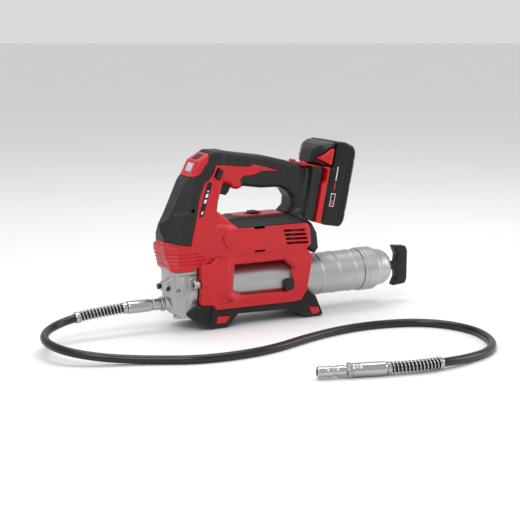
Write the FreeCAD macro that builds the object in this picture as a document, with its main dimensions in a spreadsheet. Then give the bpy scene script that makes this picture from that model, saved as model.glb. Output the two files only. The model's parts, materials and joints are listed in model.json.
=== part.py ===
"""Battery grease gun with a cartridge barrel, a pump head and a flexible delivery hose.

Millimetres. +X points to the rear (the T handle), +Y to the operator's right, +Z up.
The origin is under the middle of the tool, on the surface that its skid stands on.
"""
import FreeCAD, Part
import math
import os

import Sketcher
from FreeCAD import Placement, Rotation, Vector

DIMENSIONS = [
    # grease barrel and follower
    ("barrel_axis_z", 52.8),
    ("barrel_r", 28.6),
    ("barrel_wall", 1.3),
    ("barrel_front_x", -145.6),
    ("barrel_rear_x", 131.0),
    ("bead_rise", 0.7),
    ("bead_width", 3.0),
    ("first_bead_x", 38.0),
    ("bead_pitch", 26.0),
    ("cap_collar_r", 30.3),
    ("cap_collar_x", 106.0),
    ("cap_step_r", 25.5),
    ("cap_end_x", 161.0),
    ("rod_r", 4.0),
    ("rod_hole_gap", 0.35),
    ("cup_r", 26.6),
    ("cup_front_x", -112.0),
    ("cup_length", 18.0),
    ("handle_rear_x", 190.5),
    ("handle_thickness", 15.0),
    ("spring_wire_r", 1.0),
    ("spring_coil_r", 19.0),
    # housings
    ("body_half_width", 36.0),
    ("column_half_width", 26.0),
    ("grip_half_width", 17.5),
    ("housing_wall", 3.0),
    ("skid_half_width", 34.0),
    # drive
    ("drive_axis_z", 112.0),
    ("motor_can_r", 21.0),
    ("motor_front_x", -98.0),
    ("motor_length", 66.0),
    ("armature_r", 16.2),
    ("motor_shaft_r", 2.5),
    ("gear_module", 0.8),
    ("gear_width", 8.0),
    ("gear_front_x", -112.0),
    ("gearcase_r", 22.5),
    ("output_shaft_r", 5.0),
    ("crank_throw", 8.0),
    ("crank_disc_r", 13.0),
    ("crank_pin_r", 3.0),
    # pump
    ("pump_x", -163.0),
    ("plunger_r", 5.0),
    ("plunger_gap", 0.4),
    ("outlet_z", 34.8),
    ("outlet_boss_r", 10.0),
    ("head_half_width", 25.0),
    ("head_flange_r", 29.0),
    # hose
    ("hose_r", 5.25),
    ("guard_r", 7.5),
    ("guard_length", 70.0),
    ("ferrule_r", 8.3),
    ("head_ferrule_length", 46.0),
    ("far_ferrule_length", 41.0),
    ("coupler_nut_flat_r", 8.15),
    ("coupler_nut_length", 5.5),
    ("coupler_length", 35.0),
    ("coupler_r", 6.4),
    ("coupler_bore_r", 4.0),
    ("coupler_bore_depth", 10.0),
    # battery pack
    ("pack_lean_deg", 11.0),
    ("pack_half_width", 38.0),
    ("cell_r", 9.2),
    ("cell_length", 65.0),
    ("cell_pitch", 19.5),
    ("slide_gap", 0.5),
    # controls
    ("trigger_half_width", 8.5),
    ("control_gap", 0.5),
    ("button_rise", 1.0),
]

SUN_TEETH = 12
PLANET_TEETH = 18
RING_TEETH = SUN_TEETH + 2 * PLANET_TEETH
PLANETS = 3
CELLS = 5

doc = FreeCAD.newDocument("grease_gun")
sheet = doc.addObject("Spreadsheet::Sheet", "Sheet")
for row, (alias, value) in enumerate(DIMENSIONS, 1):
    sheet.set(f"A{row}", alias)
    sheet.set(f"B{row}", str(value))
    sheet.setAlias(f"B{row}", alias)
doc.recompute()


class Size:
    """A number from the sheet, with the expression that keeps an object bound to it."""

    def __init__(self, value, text):
        self.value = value
        self.text = text

    def __add__(self, other):
        return Size(self.value + number(other), f"({self.text} + {wording(other)})")

    def __sub__(self, other):
        return Size(self.value - number(other), f"({self.text} - {wording(other)})")

    def __mul__(self, other):
        return Size(self.value * number(other), f"({self.text} * {wording(other)})")

    def __neg__(self):
        return Size(-self.value, f"(0 - {self.text})")


def number(size):
    return size.value if isinstance(size, Size) else float(size)


def wording(size):
    return size.text if isinstance(size, Size) else f"({size})"


class Sizes:
    """Every cell of the sheet, as an attribute named by its alias."""

    def __init__(self):
        for alias, _ in DIMENSIONS:
            setattr(self, alias, Size(float(getattr(sheet, alias)), f"Sheet.{alias}"))


S = Sizes()
AXIS_Z = number(S.barrel_axis_z)
DRIVE_Z = number(S.drive_axis_z)
subparts = []
X_AXIS = Vector(1, 0, 0)
Y_AXIS = Vector(0, 1, 0)
Z_AXIS = Vector(0, 0, 1)


# ---------------------------------------------------------------- building blocks
def finish(obj, label):
    obj.Label = label
    subparts.append(obj)
    return obj


def bind(obj, prop, size):
    setattr(obj, prop, number(size))
    if isinstance(size, Size):
        obj.setExpression(prop, size.text)


def aim(base, direction):
    return Placement(Vector(*base), Rotation(Z_AXIS, Vector(*direction)))


def rod(name, radius, length, base, direction=(0, 0, 1)):
    obj = doc.addObject("Part::Cylinder", name)
    bind(obj, "Radius", radius)
    bind(obj, "Height", length)
    obj.Placement = aim(base, direction)
    return obj


def block(name, size, corner):
    obj = doc.addObject("Part::Box", name)
    for prop, amount in zip(("Length", "Width", "Height"), size):
        bind(obj, prop, amount)
    obj.Placement = Placement(Vector(*[number(c) for c in corner]), Rotation())
    return obj


def joined(name, pieces):
    obj = doc.addObject("Part::MultiFuse", name)
    obj.Shapes = pieces
    return obj


def cut(name, base, tool):
    obj = doc.addObject("Part::Cut", name)
    obj.Base = base
    obj.Tool = tool
    return obj


def feature(label, shape, placement=None):
    obj = doc.addObject("Part::Feature", label)
    obj.Shape = shape
    if placement is not None:
        obj.Placement = placement
    return finish(obj, label)


def origin_plane(body, role):
    return next(f for f in body.Origin.OriginFeatures if f.Role == role)


def sketch(body, plane, points, offset=0.0):
    """A closed outline of straight lines; every coordinate is held by a constraint."""
    result = body.newObject("Sketcher::SketchObject", f"{body.Name}_outline")
    result.AttachmentSupport = [(origin_plane(body, plane), "")]
    result.MapMode = "FlatFace"
    result.AttachmentOffset = Placement(Vector(0, 0, offset), Rotation())
    flat = [Vector(number(a), number(b), 0) for a, b in points]
    for index, start in enumerate(flat):
        end = flat[(index + 1) % len(flat)]
        result.addGeometry(Part.LineSegment(start, end), False)
    for index in range(len(flat)):
        following = (index + 1) % len(flat)
        result.addConstraint(Sketcher.Constraint("Coincident", index, 2, following, 1))
    for index, point in enumerate(points):
        for kind, size in zip(("DistanceX", "DistanceY"), point):
            place = result.addConstraint(Sketcher.Constraint(kind, -1, 1, index, 1, number(size)))
            if isinstance(size, Size):
                result.setExpression(f"Constraints[{place}]", size.text)
    return result


def circle_sketch(body, plane, circles, offset=0.0):
    """Circles given as (x, y, radius)."""
    result = body.newObject("Sketcher::SketchObject", f"{body.Name}_circles")
    result.AttachmentSupport = [(origin_plane(body, plane), "")]
    result.MapMode = "FlatFace"
    result.AttachmentOffset = Placement(Vector(0, 0, offset), Rotation())
    for index, (x, y, radius) in enumerate(circles):
        centre = Vector(number(x), number(y), 0)
        result.addGeometry(Part.Circle(centre, Z_AXIS, number(radius)), False)
        place = result.addConstraint(Sketcher.Constraint("Radius", index, number(radius)))
        if isinstance(radius, Size):
            result.setExpression(f"Constraints[{place}]", radius.text)
        result.addConstraint(Sketcher.Constraint("DistanceX", -1, 1, index, 3, number(x)))
        result.addConstraint(Sketcher.Constraint("DistanceY", -1, 1, index, 3, number(y)))
    return result


def turned(label, points, z=None, placement=None):
    """A body of revolution about the X axis, from (x, radius) points."""
    body = doc.addObject("PartDesign::Body", label)
    revolution = body.newObject("PartDesign::Revolution", f"{label}_turned")
    outline = sketch(body, "XZ_Plane", points)
    revolution.Profile = outline
    revolution.ReferenceAxis = (outline, ["H_Axis"])
    revolution.Angle = 360
    body.Tip = revolution
    body.Placement = placement or Placement(Vector(0, 0, number(z)), Rotation())
    return finish(body, label)


def padded(label, plane, points, length, offset=0.0, midplane=True, placement=None):
    """A body padded from one outline."""
    body = doc.addObject("PartDesign::Body", label)
    outline = sketch(body, plane, points, offset)
    pad = body.newObject("PartDesign::Pad", f"{label}_pad")
    pad.Profile = outline
    bind(pad, "Length", length)
    pad.Midplane = midplane
    body.Tip = pad
    if placement is not None:
        body.Placement = placement
    return finish(body, label)


def pocket_circles(body, plane, circles, length, offset=0.0, midplane=True):
    """Round holes cut from a body; the volume has to drop."""
    doc.recompute()
    before = body.Shape.Volume
    pocket = body.newObject("PartDesign::Pocket", f"{body.Name}_pocket")
    pocket.Profile = circle_sketch(body, plane, circles, offset)
    bind(pocket, "Length", length)
    pocket.Midplane = midplane
    body.Tip = pocket
    doc.recompute()
    if body.Shape.Volume >= before:
        raise ValueError(f"{body.Name}: the pocket cut nothing")


def polygon_face(points, to_vector):
    corners = [to_vector(number(a), number(b)) for a, b in points]
    return Part.Face(Part.makePolygon(corners + corners[:1]))


def side_face(points):
    return polygon_face(points, lambda x, z: Vector(x, 0, z))


def side_prism(points, half_width, inset=0.0):
    """The outline in X and Z, as thick as twice half_width, shrunk by inset."""
    face = side_face(points)
    if inset:
        face = face.makeOffset2D(-inset, join=2)
    face.translate(Vector(0, -(half_width - inset), 0))
    return face.extrude(Vector(0, 2 * (half_width - inset), 0))


def front_prism(points, inset=0.0):
    """The outline in Y and Z, long enough to cover the whole tool in X."""
    face = polygon_face(points, lambda y, z: Vector(-300, y, z))
    if inset:
        face = face.makeOffset2D(-inset, join=2)
    return face.extrude(Vector(600, 0, 0))


def band(x_low, x_high, y_low, y_high, z_low, z_high):
    return Part.makeBox(
        x_high - x_low, y_high - y_low, z_high - z_low, Vector(x_low, y_low, z_low)
    )


def bar(radius, length, base, direction=X_AXIS):
    return Part.makeCylinder(number(radius), length, Vector(*base), direction)


def fused(shapes):
    result = shapes[0]
    for shape in shapes[1:]:
        result = result.fuse(shape)
    return result.removeSplitter()


def coil(radius, wire_radius, turns, length, base, direction):
    """A round-wire compression spring."""
    helix = Part.makeHelix(length / turns, length, radius)
    start = Part.makeCircle(wire_radius, Vector(radius, 0, 0), Vector(0, 1, 0))
    spring = Part.Wire(helix.Edges).makePipeShell([Part.Wire([start])], True, True)
    spring.Placement = aim(base, direction)
    return spring


def solids_only(shape):
    """The solids of a cut, joined in one compound when there is more than one."""
    solids = [s for s in shape.Solids if s.Volume > 1.0]
    return solids[0] if len(solids) == 1 else Part.makeCompound(solids)


# ---------------------------------------------------------------- outer outlines
COLUMN = [
    (-122, 231), (-142, 219.5), (-149.5, 204), (-158, 193.5), (-170.5, 167.5), (-181.5, 146),
    (-189, 126.5), (-189, 120.5), (-190.5, 113), (-189, 102), (-186, 92.5), (-182, 84),
    (-165.6, 80.3), (-140, 80), (-118, 80), (-97, 138), (-106, 146), (-117.6, 154.7),
    (-115.1, 167), (-111.3, 179), (-106, 195), (-104, 230.7),
]
HANDLE = [
    (-122, 231), (-104, 230.7), (-86.4, 227.6), (-41, 221), (-12.4, 214), (11, 206.5), (24, 205.5),
    (12, 137), (-24, 137), (-24, 142), (-13.7, 144.8), (-9.8, 151.5), (-9.8, 163), (-16.4, 172.8),
    (-25.5, 178.5), (-48.6, 179), (-69, 182), (-75.2, 183), (-81.5, 179.5), (-86.5, 179.6),
    (-90.2, 181), (-111.3, 179), (-122, 179),
]
BODY = [
    (-147, 83), (-118, 131), (-110, 142), (3, 142), (10, 131), (14, 124), (16, 103), (9.9, 97),
    (20, 83),
]
FRAME = [
    (18.6, 86), (9.7, 40.6), (0.5, 26.1), (-10, 24.9), (-123.6, 25.8), (-128.5, 33.2),
    (-145.6, 35.1), (-139.3, 60.6), (-146, 86),
]
WINDOW = [
    (-97.2, 83.8), (-24.8, 83.9), (-10.4, 72), (-12.8, 50), (-20.6, 41), (-86.1, 42.5), (-99.9, 49.7),
]
BUMPER = [
    (4, 137), (9, 135.5), (20, 129), (27.5, 116), (30.5, 93), (24.7, 87.6), (20, 91), (9.9, 97),
    (16, 103), (14, 124), (10, 131),
]
SKID = [
    (-166, 23.5), (-153, 13.5), (-129, 0), (-107.6, 0), (-93, 17.8), (-15.5, 15.6), (13.9, 0),
    (34, 0), (36.8, 2.5), (24.3, 30.3), (12.2, 39.9), (9.7, 40.6), (0.5, 26.1), (-10, 24.9),
    (-123.6, 25.8), (-128.5, 33.2), (-146.6, 33.9),
]
FRONT_PAD = [(-123.4, 17.7), (-104.2, 16.6), (-111.5, 7.4), (-124.7, 7.9)]
REAR_PAD = [(13.7, 15.9), (27.2, 14.4), (31.3, 7.9), (23.2, 4), (17.8, 5.8)]
COVER_SPLIT = [
    (-110, 245), (-127, 218), (-127.9, 214), (-147.8, 158.3), (-156, 112), (-195, 121), (-195, 245),
]
BEZEL_SPLIT = [(-125, 235), (-127, 219), (-141, 202), (-152, 199), (-160, 215), (-140, 238)]
GRIP_SPLIT = [
    (-125, 245), (-125, 221), (-124.2, 209), (-117, 214.2), (-68.6, 208.8), (-61.6, 211.8),
    (-20.2, 200.4), (-49.7, 201.9), (-62.3, 197), (-76.2, 197.3), (-81.2, 192.4), (-75.2, 175),
    (-20, 170), (-30, 134.5), (30, 134.5), (30, 245),
]
BAND_SPLIT = [(-108.5, 147), (-91, 131.5), (14, 131.5), (14, 150), (-108.5, 150)]
HEAD = [
    (-181.5, 87), (-183, 68), (-182, 45), (-176, 24), (-169, 17), (-153, 17), (-146.4, 25),
    (-146.4, 87),
]
HEAD_PLAN = [
    (-190, -12), (-182.5, -12), (-176, -20), (-165, -23.5), (-146.4, -24.5), (-146.4, 24.5),
    (-165, 23.5), (-176, 20), (-182.5, 12), (-190, 12),
]
EYE_LUG = [(-181, 74), (-190, 65.5), (-190, 50), (-185.5, 46.3), (-172, 48), (-172, 74)]
TRIGGER = [
    (-109, 190), (-109, 180), (-107.5, 174.5), (-97.7, 171.8), (-93.5, 176), (-91, 182), (-91, 190),
]

body_half = number(S.body_half_width)
column_half = number(S.column_half_width)
grip_half = number(S.grip_half_width)
wall = number(S.housing_wall)
COLUMN_PROFILE = [
    (-column_half + 3, 79), (-column_half, 84), (-column_half, 150), (-18, 232), (18, 232),
    (column_half, 150), (column_half, 84), (column_half - 3, 79),
]
GRIP_PROFILE = [
    (-grip_half + 3, 130), (-grip_half, 150), (-grip_half, 245), (grip_half, 245),
    (grip_half, 150), (grip_half - 3, 130),
]
BODY_PROFILE = [
    (-body_half, 82), (-body_half, 130), (-21, 142.5), (21, 142.5), (body_half, 130), (body_half, 82),
]
FRAME_PROFILE = [
    (-body_half + 3, 24), (-body_half, 29), (-body_half, 87), (body_half, 87), (body_half, 29),
    (body_half - 3, 24),
]
ZONES = [
    (COLUMN, COLUMN_PROFILE, column_half),
    (HANDLE, GRIP_PROFILE, grip_half),
    (BODY, BODY_PROFILE, body_half),
    (FRAME, FRAME_PROFILE, body_half),
]

# the battery pack leans back, about this point
PACK_PIVOT = Vector(57, 0, 179)
PACK_LEAN = number(S.pack_lean_deg)
PACK_PLACE = Placement(PACK_PIVOT, Rotation(Y_AXIS, PACK_LEAN))
FOOT_FRONT = -41.0
FOOT_REAR = -26.4
FOOT_HALF = 33.5
FOOT_LOW = -52.0
FOOT_HIGH = 19.5


def leaning(shape):
    """A shape drawn upright about the pack's own pivot, leaned into place."""
    copy = shape.copy()
    copy.Placement = PACK_PLACE.multiply(copy.Placement)
    return copy


# ---------------------------------------------------------------- pump head
LUG_Y = 33.4
LUG_Z = 62.5


def make_pump_head():
    half = number(S.head_half_width)
    pump_x = number(S.pump_x)
    outlet_z = number(S.outlet_z)
    bore_r = number(S.plunger_r + S.plunger_gap)
    spigot_r = number(S.barrel_r - S.barrel_wall) - 0.45
    outside = side_prism(HEAD, half)
    corner = front_prism([
        (-half + 8, 16), (-half, 30), (-half, 88), (half, 88), (half, 30), (half - 8, 16),
    ])
    plan = polygon_face(HEAD_PLAN, lambda x, y: Vector(x, y, 0)).extrude(Vector(0, 0, 100))
    solid = outside.common(corner).common(plan)
    flange = bar(S.head_flange_r, 17.6, (-164, 0, AXIS_Z))
    spigot = bar(spigot_r, 27, (-147, 0, AXIS_Z))
    boss = bar(S.outlet_boss_r, 12, (-184.5, 0, outlet_z))
    eye = side_prism(EYE_LUG, 4)
    eye.translate(Vector(0, -12, 0))
    valve_boss = bar(6.5, 8, (-186, 6, 57))
    lugs = [band(-157, -147.5, -LUG_Y, LUG_Y, 57, 68)]
    for side in (-1, 1):
        lugs.append(bar(4.5, 19, (-157, side * LUG_Y, LUG_Z)))
    solid = fused([solid, flange, spigot, boss, eye, valve_boss] + lugs)
    chamber = bar(spigot_r - 3, 21, (-140, 0, AXIS_Z))
    inlet = bar(4, 30, (-165, 0, AXIS_Z))
    plunger_bore = bar(bore_r, 60, (pump_x, 0, outlet_z + 5), Z_AXIS)
    foot_of_bore = bar(2.1, 8, (pump_x, 0, outlet_z), Z_AXIS)
    outlet = bar(2.5, 24, (-185, 0, outlet_z))
    check_room = bar(3.8, 12, (-184.6, 0, outlet_z))
    eye_hole = bar(3.0, 12, (-186, -18, 58), Y_AXIS)
    valve_hole = bar(3.4, 14, (-187, 6, 57))
    plug_hole = bar(4.0, 6, (-165, 0, 15), Z_AXIS)
    for tool in (chamber, inlet, plunger_bore, foot_of_bore, outlet, check_room, eye_hole,
                 valve_hole, plug_hole):
        solid = solid.cut(tool)
    for side in (-1, 1):
        solid = solid.cut(bar(2.0, 30, (-158, side * LUG_Y, LUG_Z)))
        solid = solid.cut(bar(3.2, 3.5, (-158, side * LUG_Y, LUG_Z)))
    return solids_only(solid)


head_shape = make_pump_head()
feature("pump_head", head_shape)

bolt_set = []
for side in (-1, 1):
    shank = rod(f"bolt_shank_{side + 1}", 1.95, 14, (-154.6, side * LUG_Y, LUG_Z), (1, 0, 0))
    cap = rod(f"bolt_cap_{side + 1}", 3.1, 2.7, (-157.2, side * LUG_Y, LUG_Z), (1, 0, 0))
    bolt_set.append(joined(f"bolt_{side + 1}", [shank, cap]))
bolts = doc.addObject("Part::Compound", "head_bolts")
bolts.Links = bolt_set
finish(bolts, "head_bolts")

collar = padded(
    "outlet_collar", "YZ_Plane",
    [(10 * math.cos(math.radians(a)), 10 * math.sin(math.radians(a))) for a in range(0, 360, 60)],
    5.5, offset=0.0, midplane=False,
    placement=Placement(Vector(-190, 0, number(S.outlet_z)), Rotation()),
)
pocket_circles(collar, "YZ_Plane", [(0, 0, 3.0)], 30)

padded(
    "bottom_plug", "XY_Plane",
    [(6.5 * math.cos(math.radians(a)), 6.5 * math.sin(math.radians(a))) for a in range(0, 360, 60)],
    4.0, midplane=False, placement=Placement(Vector(-165, 0, 13.0), Rotation()),
)

turned("bleed_valve", [
    (-190.5, 0), (-190.5, 3.3), (-189.7, 4.1), (-188, 4.1), (-188, 3.0), (-177, 3.0), (-175, 0),
], placement=Placement(Vector(0, 6, 57), Rotation()))

ball = Part.makeSphere(3.0, Vector(-176.4, 0, number(S.outlet_z)))
check_spring = coil(2.6, 0.4, 3, 4.0, (-180.2, 0, number(S.outlet_z)), (-1, 0, 0))
feature("outlet_check", Part.makeCompound([ball, check_spring]))


# ---------------------------------------------------------------- housings and covers
VENTS = 4
VENT_FRONT_X = -26.0
VENT_SHIFT = 1.5
VENT_LENGTH = 32.0
VENT_TOP_Z = 124.3
VENT_PITCH = 5.6


def make_shell():
    outer = []
    inner = []
    for outline, profile, half in ZONES:
        outer.append(side_prism(outline, half).common(front_prism(profile)))
        inner.append(side_prism(outline, half, wall).common(front_prism(profile, wall)))
    hollow = fused(outer).cut(fused(inner))
    foot_box = band(FOOT_FRONT, 60, -60, 60, FOOT_LOW, 90)
    hollow = hollow.cut(leaning(foot_box))
    hollow = hollow.cut(bar(number(S.barrel_r) + 0.6, 400, (-150, 0, AXIS_Z)))
    hollow = hollow.cut(side_prism(WINDOW, 60))
    hollow = hollow.cut(head_shape)
    hollow = hollow.cut(band(-184, -146, -25.1, 25.1, 60, 87.2))
    hollow = hollow.cut(bar(5, 21, (-158, -LUG_Y, LUG_Z)))
    hollow = hollow.cut(bar(5, 21, (-158, LUG_Y, LUG_Z)))
    for step in range(VENTS):
        front = VENT_FRONT_X + VENT_SHIFT * step
        top = VENT_TOP_Z - VENT_PITCH * step
        for low in (-40, 30):
            hollow = hollow.cut(band(front, front + VENT_LENGTH, low, low + 10, top - 2.8, top))
    return hollow


shell = make_shell()
trigger_room = number(S.trigger_half_width + S.control_gap)
shell = shell.cut(band(-110, -90, -trigger_room, trigger_room, 170, 201))

LOCK_PLACE = Placement(Vector(-114, 0, 202), Rotation(Y_AXIS, 25))
LOCK_HALF = 24.5
lock_room = band(-3.9, 3.9, -60, 60, -6.4, 6.4)
lock_room.Placement = LOCK_PLACE
shell = shell.cut(lock_room)
shell = shell.cut(band(-66, -42, -3.9, 3.9, 134, 150))

SWITCH_FACET = Placement(Vector(-132, 0, 225.2), Rotation(Y_AXIS, -31))
LENS_FACET = Placement(Vector(-145.7, 0, 211.8), Rotation(Y_AXIS, -64))
light_room = band(-5.4, 5.4, -6.4, 6.4, -12, 12)
light_room.Placement = SWITCH_FACET
shell = shell.cut(light_room)
lens_room = band(-4.6, 4.6, -7.6, 7.6, -6, 6)
lens_room.Placement = LENS_FACET
shell = shell.cut(lens_room)

bezel_region = side_prism(BEZEL_SPLIT, 60)
cover_region = side_prism(COVER_SPLIT, 60).cut(bezel_region)
grip_region = side_prism(GRIP_SPLIT, 60)
band_region = side_prism(BAND_SPLIT, 60)
feature("front_cover", solids_only(shell.common(cover_region)))
black_grip = shell.common(grip_region).cut(bezel_region).cut(cover_region)
feature("handle_grip", solids_only(black_grip))
feature("top_band", solids_only(shell.common(band_region).cut(grip_region)))
black_regions = cover_region.fuse(grip_region.cut(bezel_region)).fuse(band_region)
red_shell = shell.cut(black_regions)
feature("housing_left", solids_only(red_shell.common(band(-300, 300, -60, 0, -10, 300))))
feature("housing_right", solids_only(red_shell.common(band(-300, 300, 0, 60, -10, 300))))

bumper_shape = side_prism(BUMPER, 35).cut(band(0, 24, -31, 31, 99, 127))
bumper_shape = bumper_shape.cut(shell).cut(leaning(band(FOOT_FRONT, 60, -60, 60, FOOT_LOW, 90)))
feature("rear_bumper", solids_only(bumper_shape))

skid_half = number(S.skid_half_width)
skid_profile = front_prism([
    (-skid_half + 5, -1), (-skid_half + 5, 0), (-skid_half, 6), (-skid_half, 50),
    (skid_half, 50), (skid_half, 6), (skid_half - 5, 0), (skid_half - 5, -1),
])
skid_shape = side_prism(SKID, skid_half).common(skid_profile).cut(head_shape)
skid_shape = skid_shape.cut(band(-184, -146, -25.1, 25.1, 16, 87.2))
skid_shape = skid_shape.cut(bar(number(S.barrel_r) + 0.6, 400, (-150, 0, AXIS_Z))).cut(shell)
pads = []
for outline in (FRONT_PAD, REAR_PAD):
    for side in (-1, 1):
        pad_shape = side_prism(outline, 1.0)
        pad_shape.translate(Vector(0, side * (skid_half - 0.4), 0))
        pads.append(pad_shape)
        skid_shape = skid_shape.cut(pad_shape)
feature("base_skid", solids_only(skid_shape))
feature("skid_pads", Part.makeCompound(pads))

saddle = side_prism([(-24, 29), (-9.5, 29), (-9.5, 60), (-24, 60)], 31)
saddle = saddle.cut(bar(number(S.barrel_r) + 0.35, 60, (-40, 0, AXIS_Z)))
feature("barrel_saddle", solids_only(saddle.cut(shell)))

SCREW_SINK = 3.4
SCREW_PLACES = [
    (-135, body_half, 92), (-105, body_half, 94), (-4, body_half, 92), (4, body_half, 76),
    (-104, body_half, 35), (-125, 21.9, 192), (-30, grip_half, 196), (-70, grip_half, 188),
]
screw_set = []
for index, (x, surface_y, z) in enumerate(SCREW_PLACES):
    seat_y = surface_y - SCREW_SINK
    shank = rod(f"screw_shank_{index}", 1.5, 6.5, (x, seat_y - 6, z), (0, 1, 0))
    head = rod(f"screw_head_{index}", 2.8, 2.4, (x, seat_y, z), (0, 1, 0))
    screw_set.append(joined(f"screw_{index}", [shank, head]))
screws = doc.addObject("Part::Compound", "housing_screws")
screws.Links = screw_set
finish(screws, "housing_screws")


# ---------------------------------------------------------------- barrel and follower
def beaded_tube():
    """The tube's outline, with its rolled beads, from the pump head to the end cap."""
    points = [(S.barrel_front_x, S.barrel_r - S.barrel_wall), (S.barrel_front_x, S.barrel_r)]
    for index in range(3):
        start = S.first_bead_x + S.bead_pitch * index
        points.append((start, S.barrel_r))
        points.append((start + S.bead_width * 0.3, S.barrel_r + S.bead_rise))
        points.append((start + S.bead_width * 0.7, S.barrel_r + S.bead_rise))
        points.append((start + S.bead_width, S.barrel_r))
    points.append((S.barrel_rear_x, S.barrel_r))
    points.append((S.barrel_rear_x, S.barrel_r - S.barrel_wall))
    return points


turned("barrel_tube", beaded_tube(), z=S.barrel_axis_z)
turned("barrel_end_cap", [
    (S.cap_collar_x, S.barrel_r), (S.cap_collar_x, S.cap_collar_r - 0.6),
    (S.cap_collar_x + 1, S.cap_collar_r), (112.5, S.cap_collar_r), (113.2, S.cap_collar_r - 0.8),
    (113.9, S.cap_collar_r), (128, S.cap_collar_r), (129, S.cap_collar_r - 0.6), (134, 28.0),
    (137, S.cap_step_r + 0.8), (142, S.cap_step_r), (147, 22.2), (151, 17.8), (155.5, 12.0),
    (158.5, 8.0), (S.cap_end_x, 6.5), (S.cap_end_x, S.rod_r + S.rod_hole_gap),
    (157, S.rod_r + S.rod_hole_gap), (153.5, 11), (149, 16.6), (145, 20.8), (140.5, 23.8),
    (S.barrel_rear_x + 0.5, 25.5), (S.barrel_rear_x + 0.5, S.barrel_r),
], z=S.barrel_axis_z)
turned("follower_cup", [
    (S.cup_front_x, S.rod_r), (S.cup_front_x, 12), (S.cup_front_x + 5, S.cup_r - 2),
    (S.cup_front_x + 9, S.cup_r), (S.cup_front_x + S.cup_length, S.cup_r),
    (S.cup_front_x + S.cup_length, S.cup_r - 1.6), (S.cup_front_x + 12, S.cup_r - 1.6),
    (S.cup_front_x + 9, 12), (S.cup_front_x + 9, S.rod_r),
], z=S.barrel_axis_z)
turned("follower_rod", [
    (S.cup_front_x, 0), (S.cup_front_x, S.rod_r), (172, S.rod_r), (172, 0),
], z=S.barrel_axis_z)
feature("follower_spring", coil(
    number(S.spring_coil_r), number(S.spring_wire_r), 14, 228,
    (number(S.cup_front_x + 12), 0, AXIS_Z), (1, 0, 0),
))

crossbar = padded("t_handle", "XZ_Plane", [
    (162.5, -6), (162.5, 6), (169.5, 7), (172, 16), (167, 26.5), (168.5, 28.3), (186.5, 28),
    (S.handle_rear_x, 20), (S.handle_rear_x, -20), (186.5, -28), (168.5, -28.3), (167, -26.5),
    (172, -16), (169.5, -7),
], S.handle_thickness, placement=Placement(Vector(0, 0, AXIS_Z), Rotation()))
pocket_circles(crossbar, "YZ_Plane", [(0, 0, S.rod_r)], 44, offset=150.0)


# ---------------------------------------------------------------- motor, gears, crank
def gear_outline(teeth, module, tip, root, thinning):
    """Closed outline of a spur gear with four points on each flank."""
    pitch_r = teeth * module / 2
    base_r = pitch_r * math.cos(math.radians(20))
    radii = [root, max(base_r, root + 0.05), pitch_r, tip]

    def half_angle(radius):
        angle = math.acos(min(1.0, base_r / max(radius, base_r)))
        return (
            math.pi / (2 * teeth) - thinning / (2 * pitch_r)
            + math.tan(math.radians(20)) - math.radians(20)
            - (math.tan(angle) - angle)
        )

    points = []
    for tooth in range(teeth):
        middle = 2 * math.pi * tooth / teeth
        rising = [(r, middle - half_angle(r)) for r in radii]
        falling = [(r, middle + half_angle(r)) for r in reversed(radii)]
        points.extend(rising + falling)
    return [(r * math.cos(a), r * math.sin(a)) for r, a in points]


def gear_solid(teeth, tip_extra, root_extra, thinning, turn=0.0):
    """A gear standing on the YZ plane, its first tooth along +Y, gear_width long in +X."""
    module = number(S.gear_module)
    pitch_r = teeth * module / 2
    outline = gear_outline(teeth, module, pitch_r + tip_extra, pitch_r + root_extra, thinning)
    corners = [Vector(0, a, b) for a, b in outline]
    solid = Part.Face(Part.makePolygon(corners + corners[:1])).extrude(X_AXIS * number(S.gear_width))
    solid.rotate(Vector(), X_AXIS, turn)
    return solid


GEAR_X = number(S.gear_front_x)
MODULE = number(S.gear_module)
CENTRE_R = MODULE * (SUN_TEETH + PLANET_TEETH) / 2
BACKLASH = 0.12
sun = gear_solid(SUN_TEETH, 0.75 * MODULE, -1.1 * MODULE, BACKLASH)
sun.translate(Vector(GEAR_X, 0, DRIVE_Z))
for index in range(PLANETS):
    angle = 360.0 / PLANETS * index
    planet = gear_solid(PLANET_TEETH, 0.75 * MODULE, -1.1 * MODULE, BACKLASH, 180.0 / PLANET_TEETH)
    planet = planet.cut(bar(2.4, 20, (-5, 0, 0)))
    planet.rotate(Vector(), X_AXIS, angle)
    reach = math.radians(angle)
    place = Vector(GEAR_X, CENTRE_R * math.cos(reach), DRIVE_Z + CENTRE_R * math.sin(reach))
    feature(f"planet_gear_{index + 1}", planet, Placement(place, Rotation()))
ring_space = gear_solid(RING_TEETH, 1.1 * MODULE, -0.75 * MODULE, -BACKLASH, 180.0 / RING_TEETH)
ring_gear = bar(21.5, number(S.gear_width), (0, 0, 0)).cut(ring_space)
feature("ring_gear", solids_only(ring_gear), Placement(Vector(GEAR_X, 0, DRIVE_Z), Rotation()))

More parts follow.
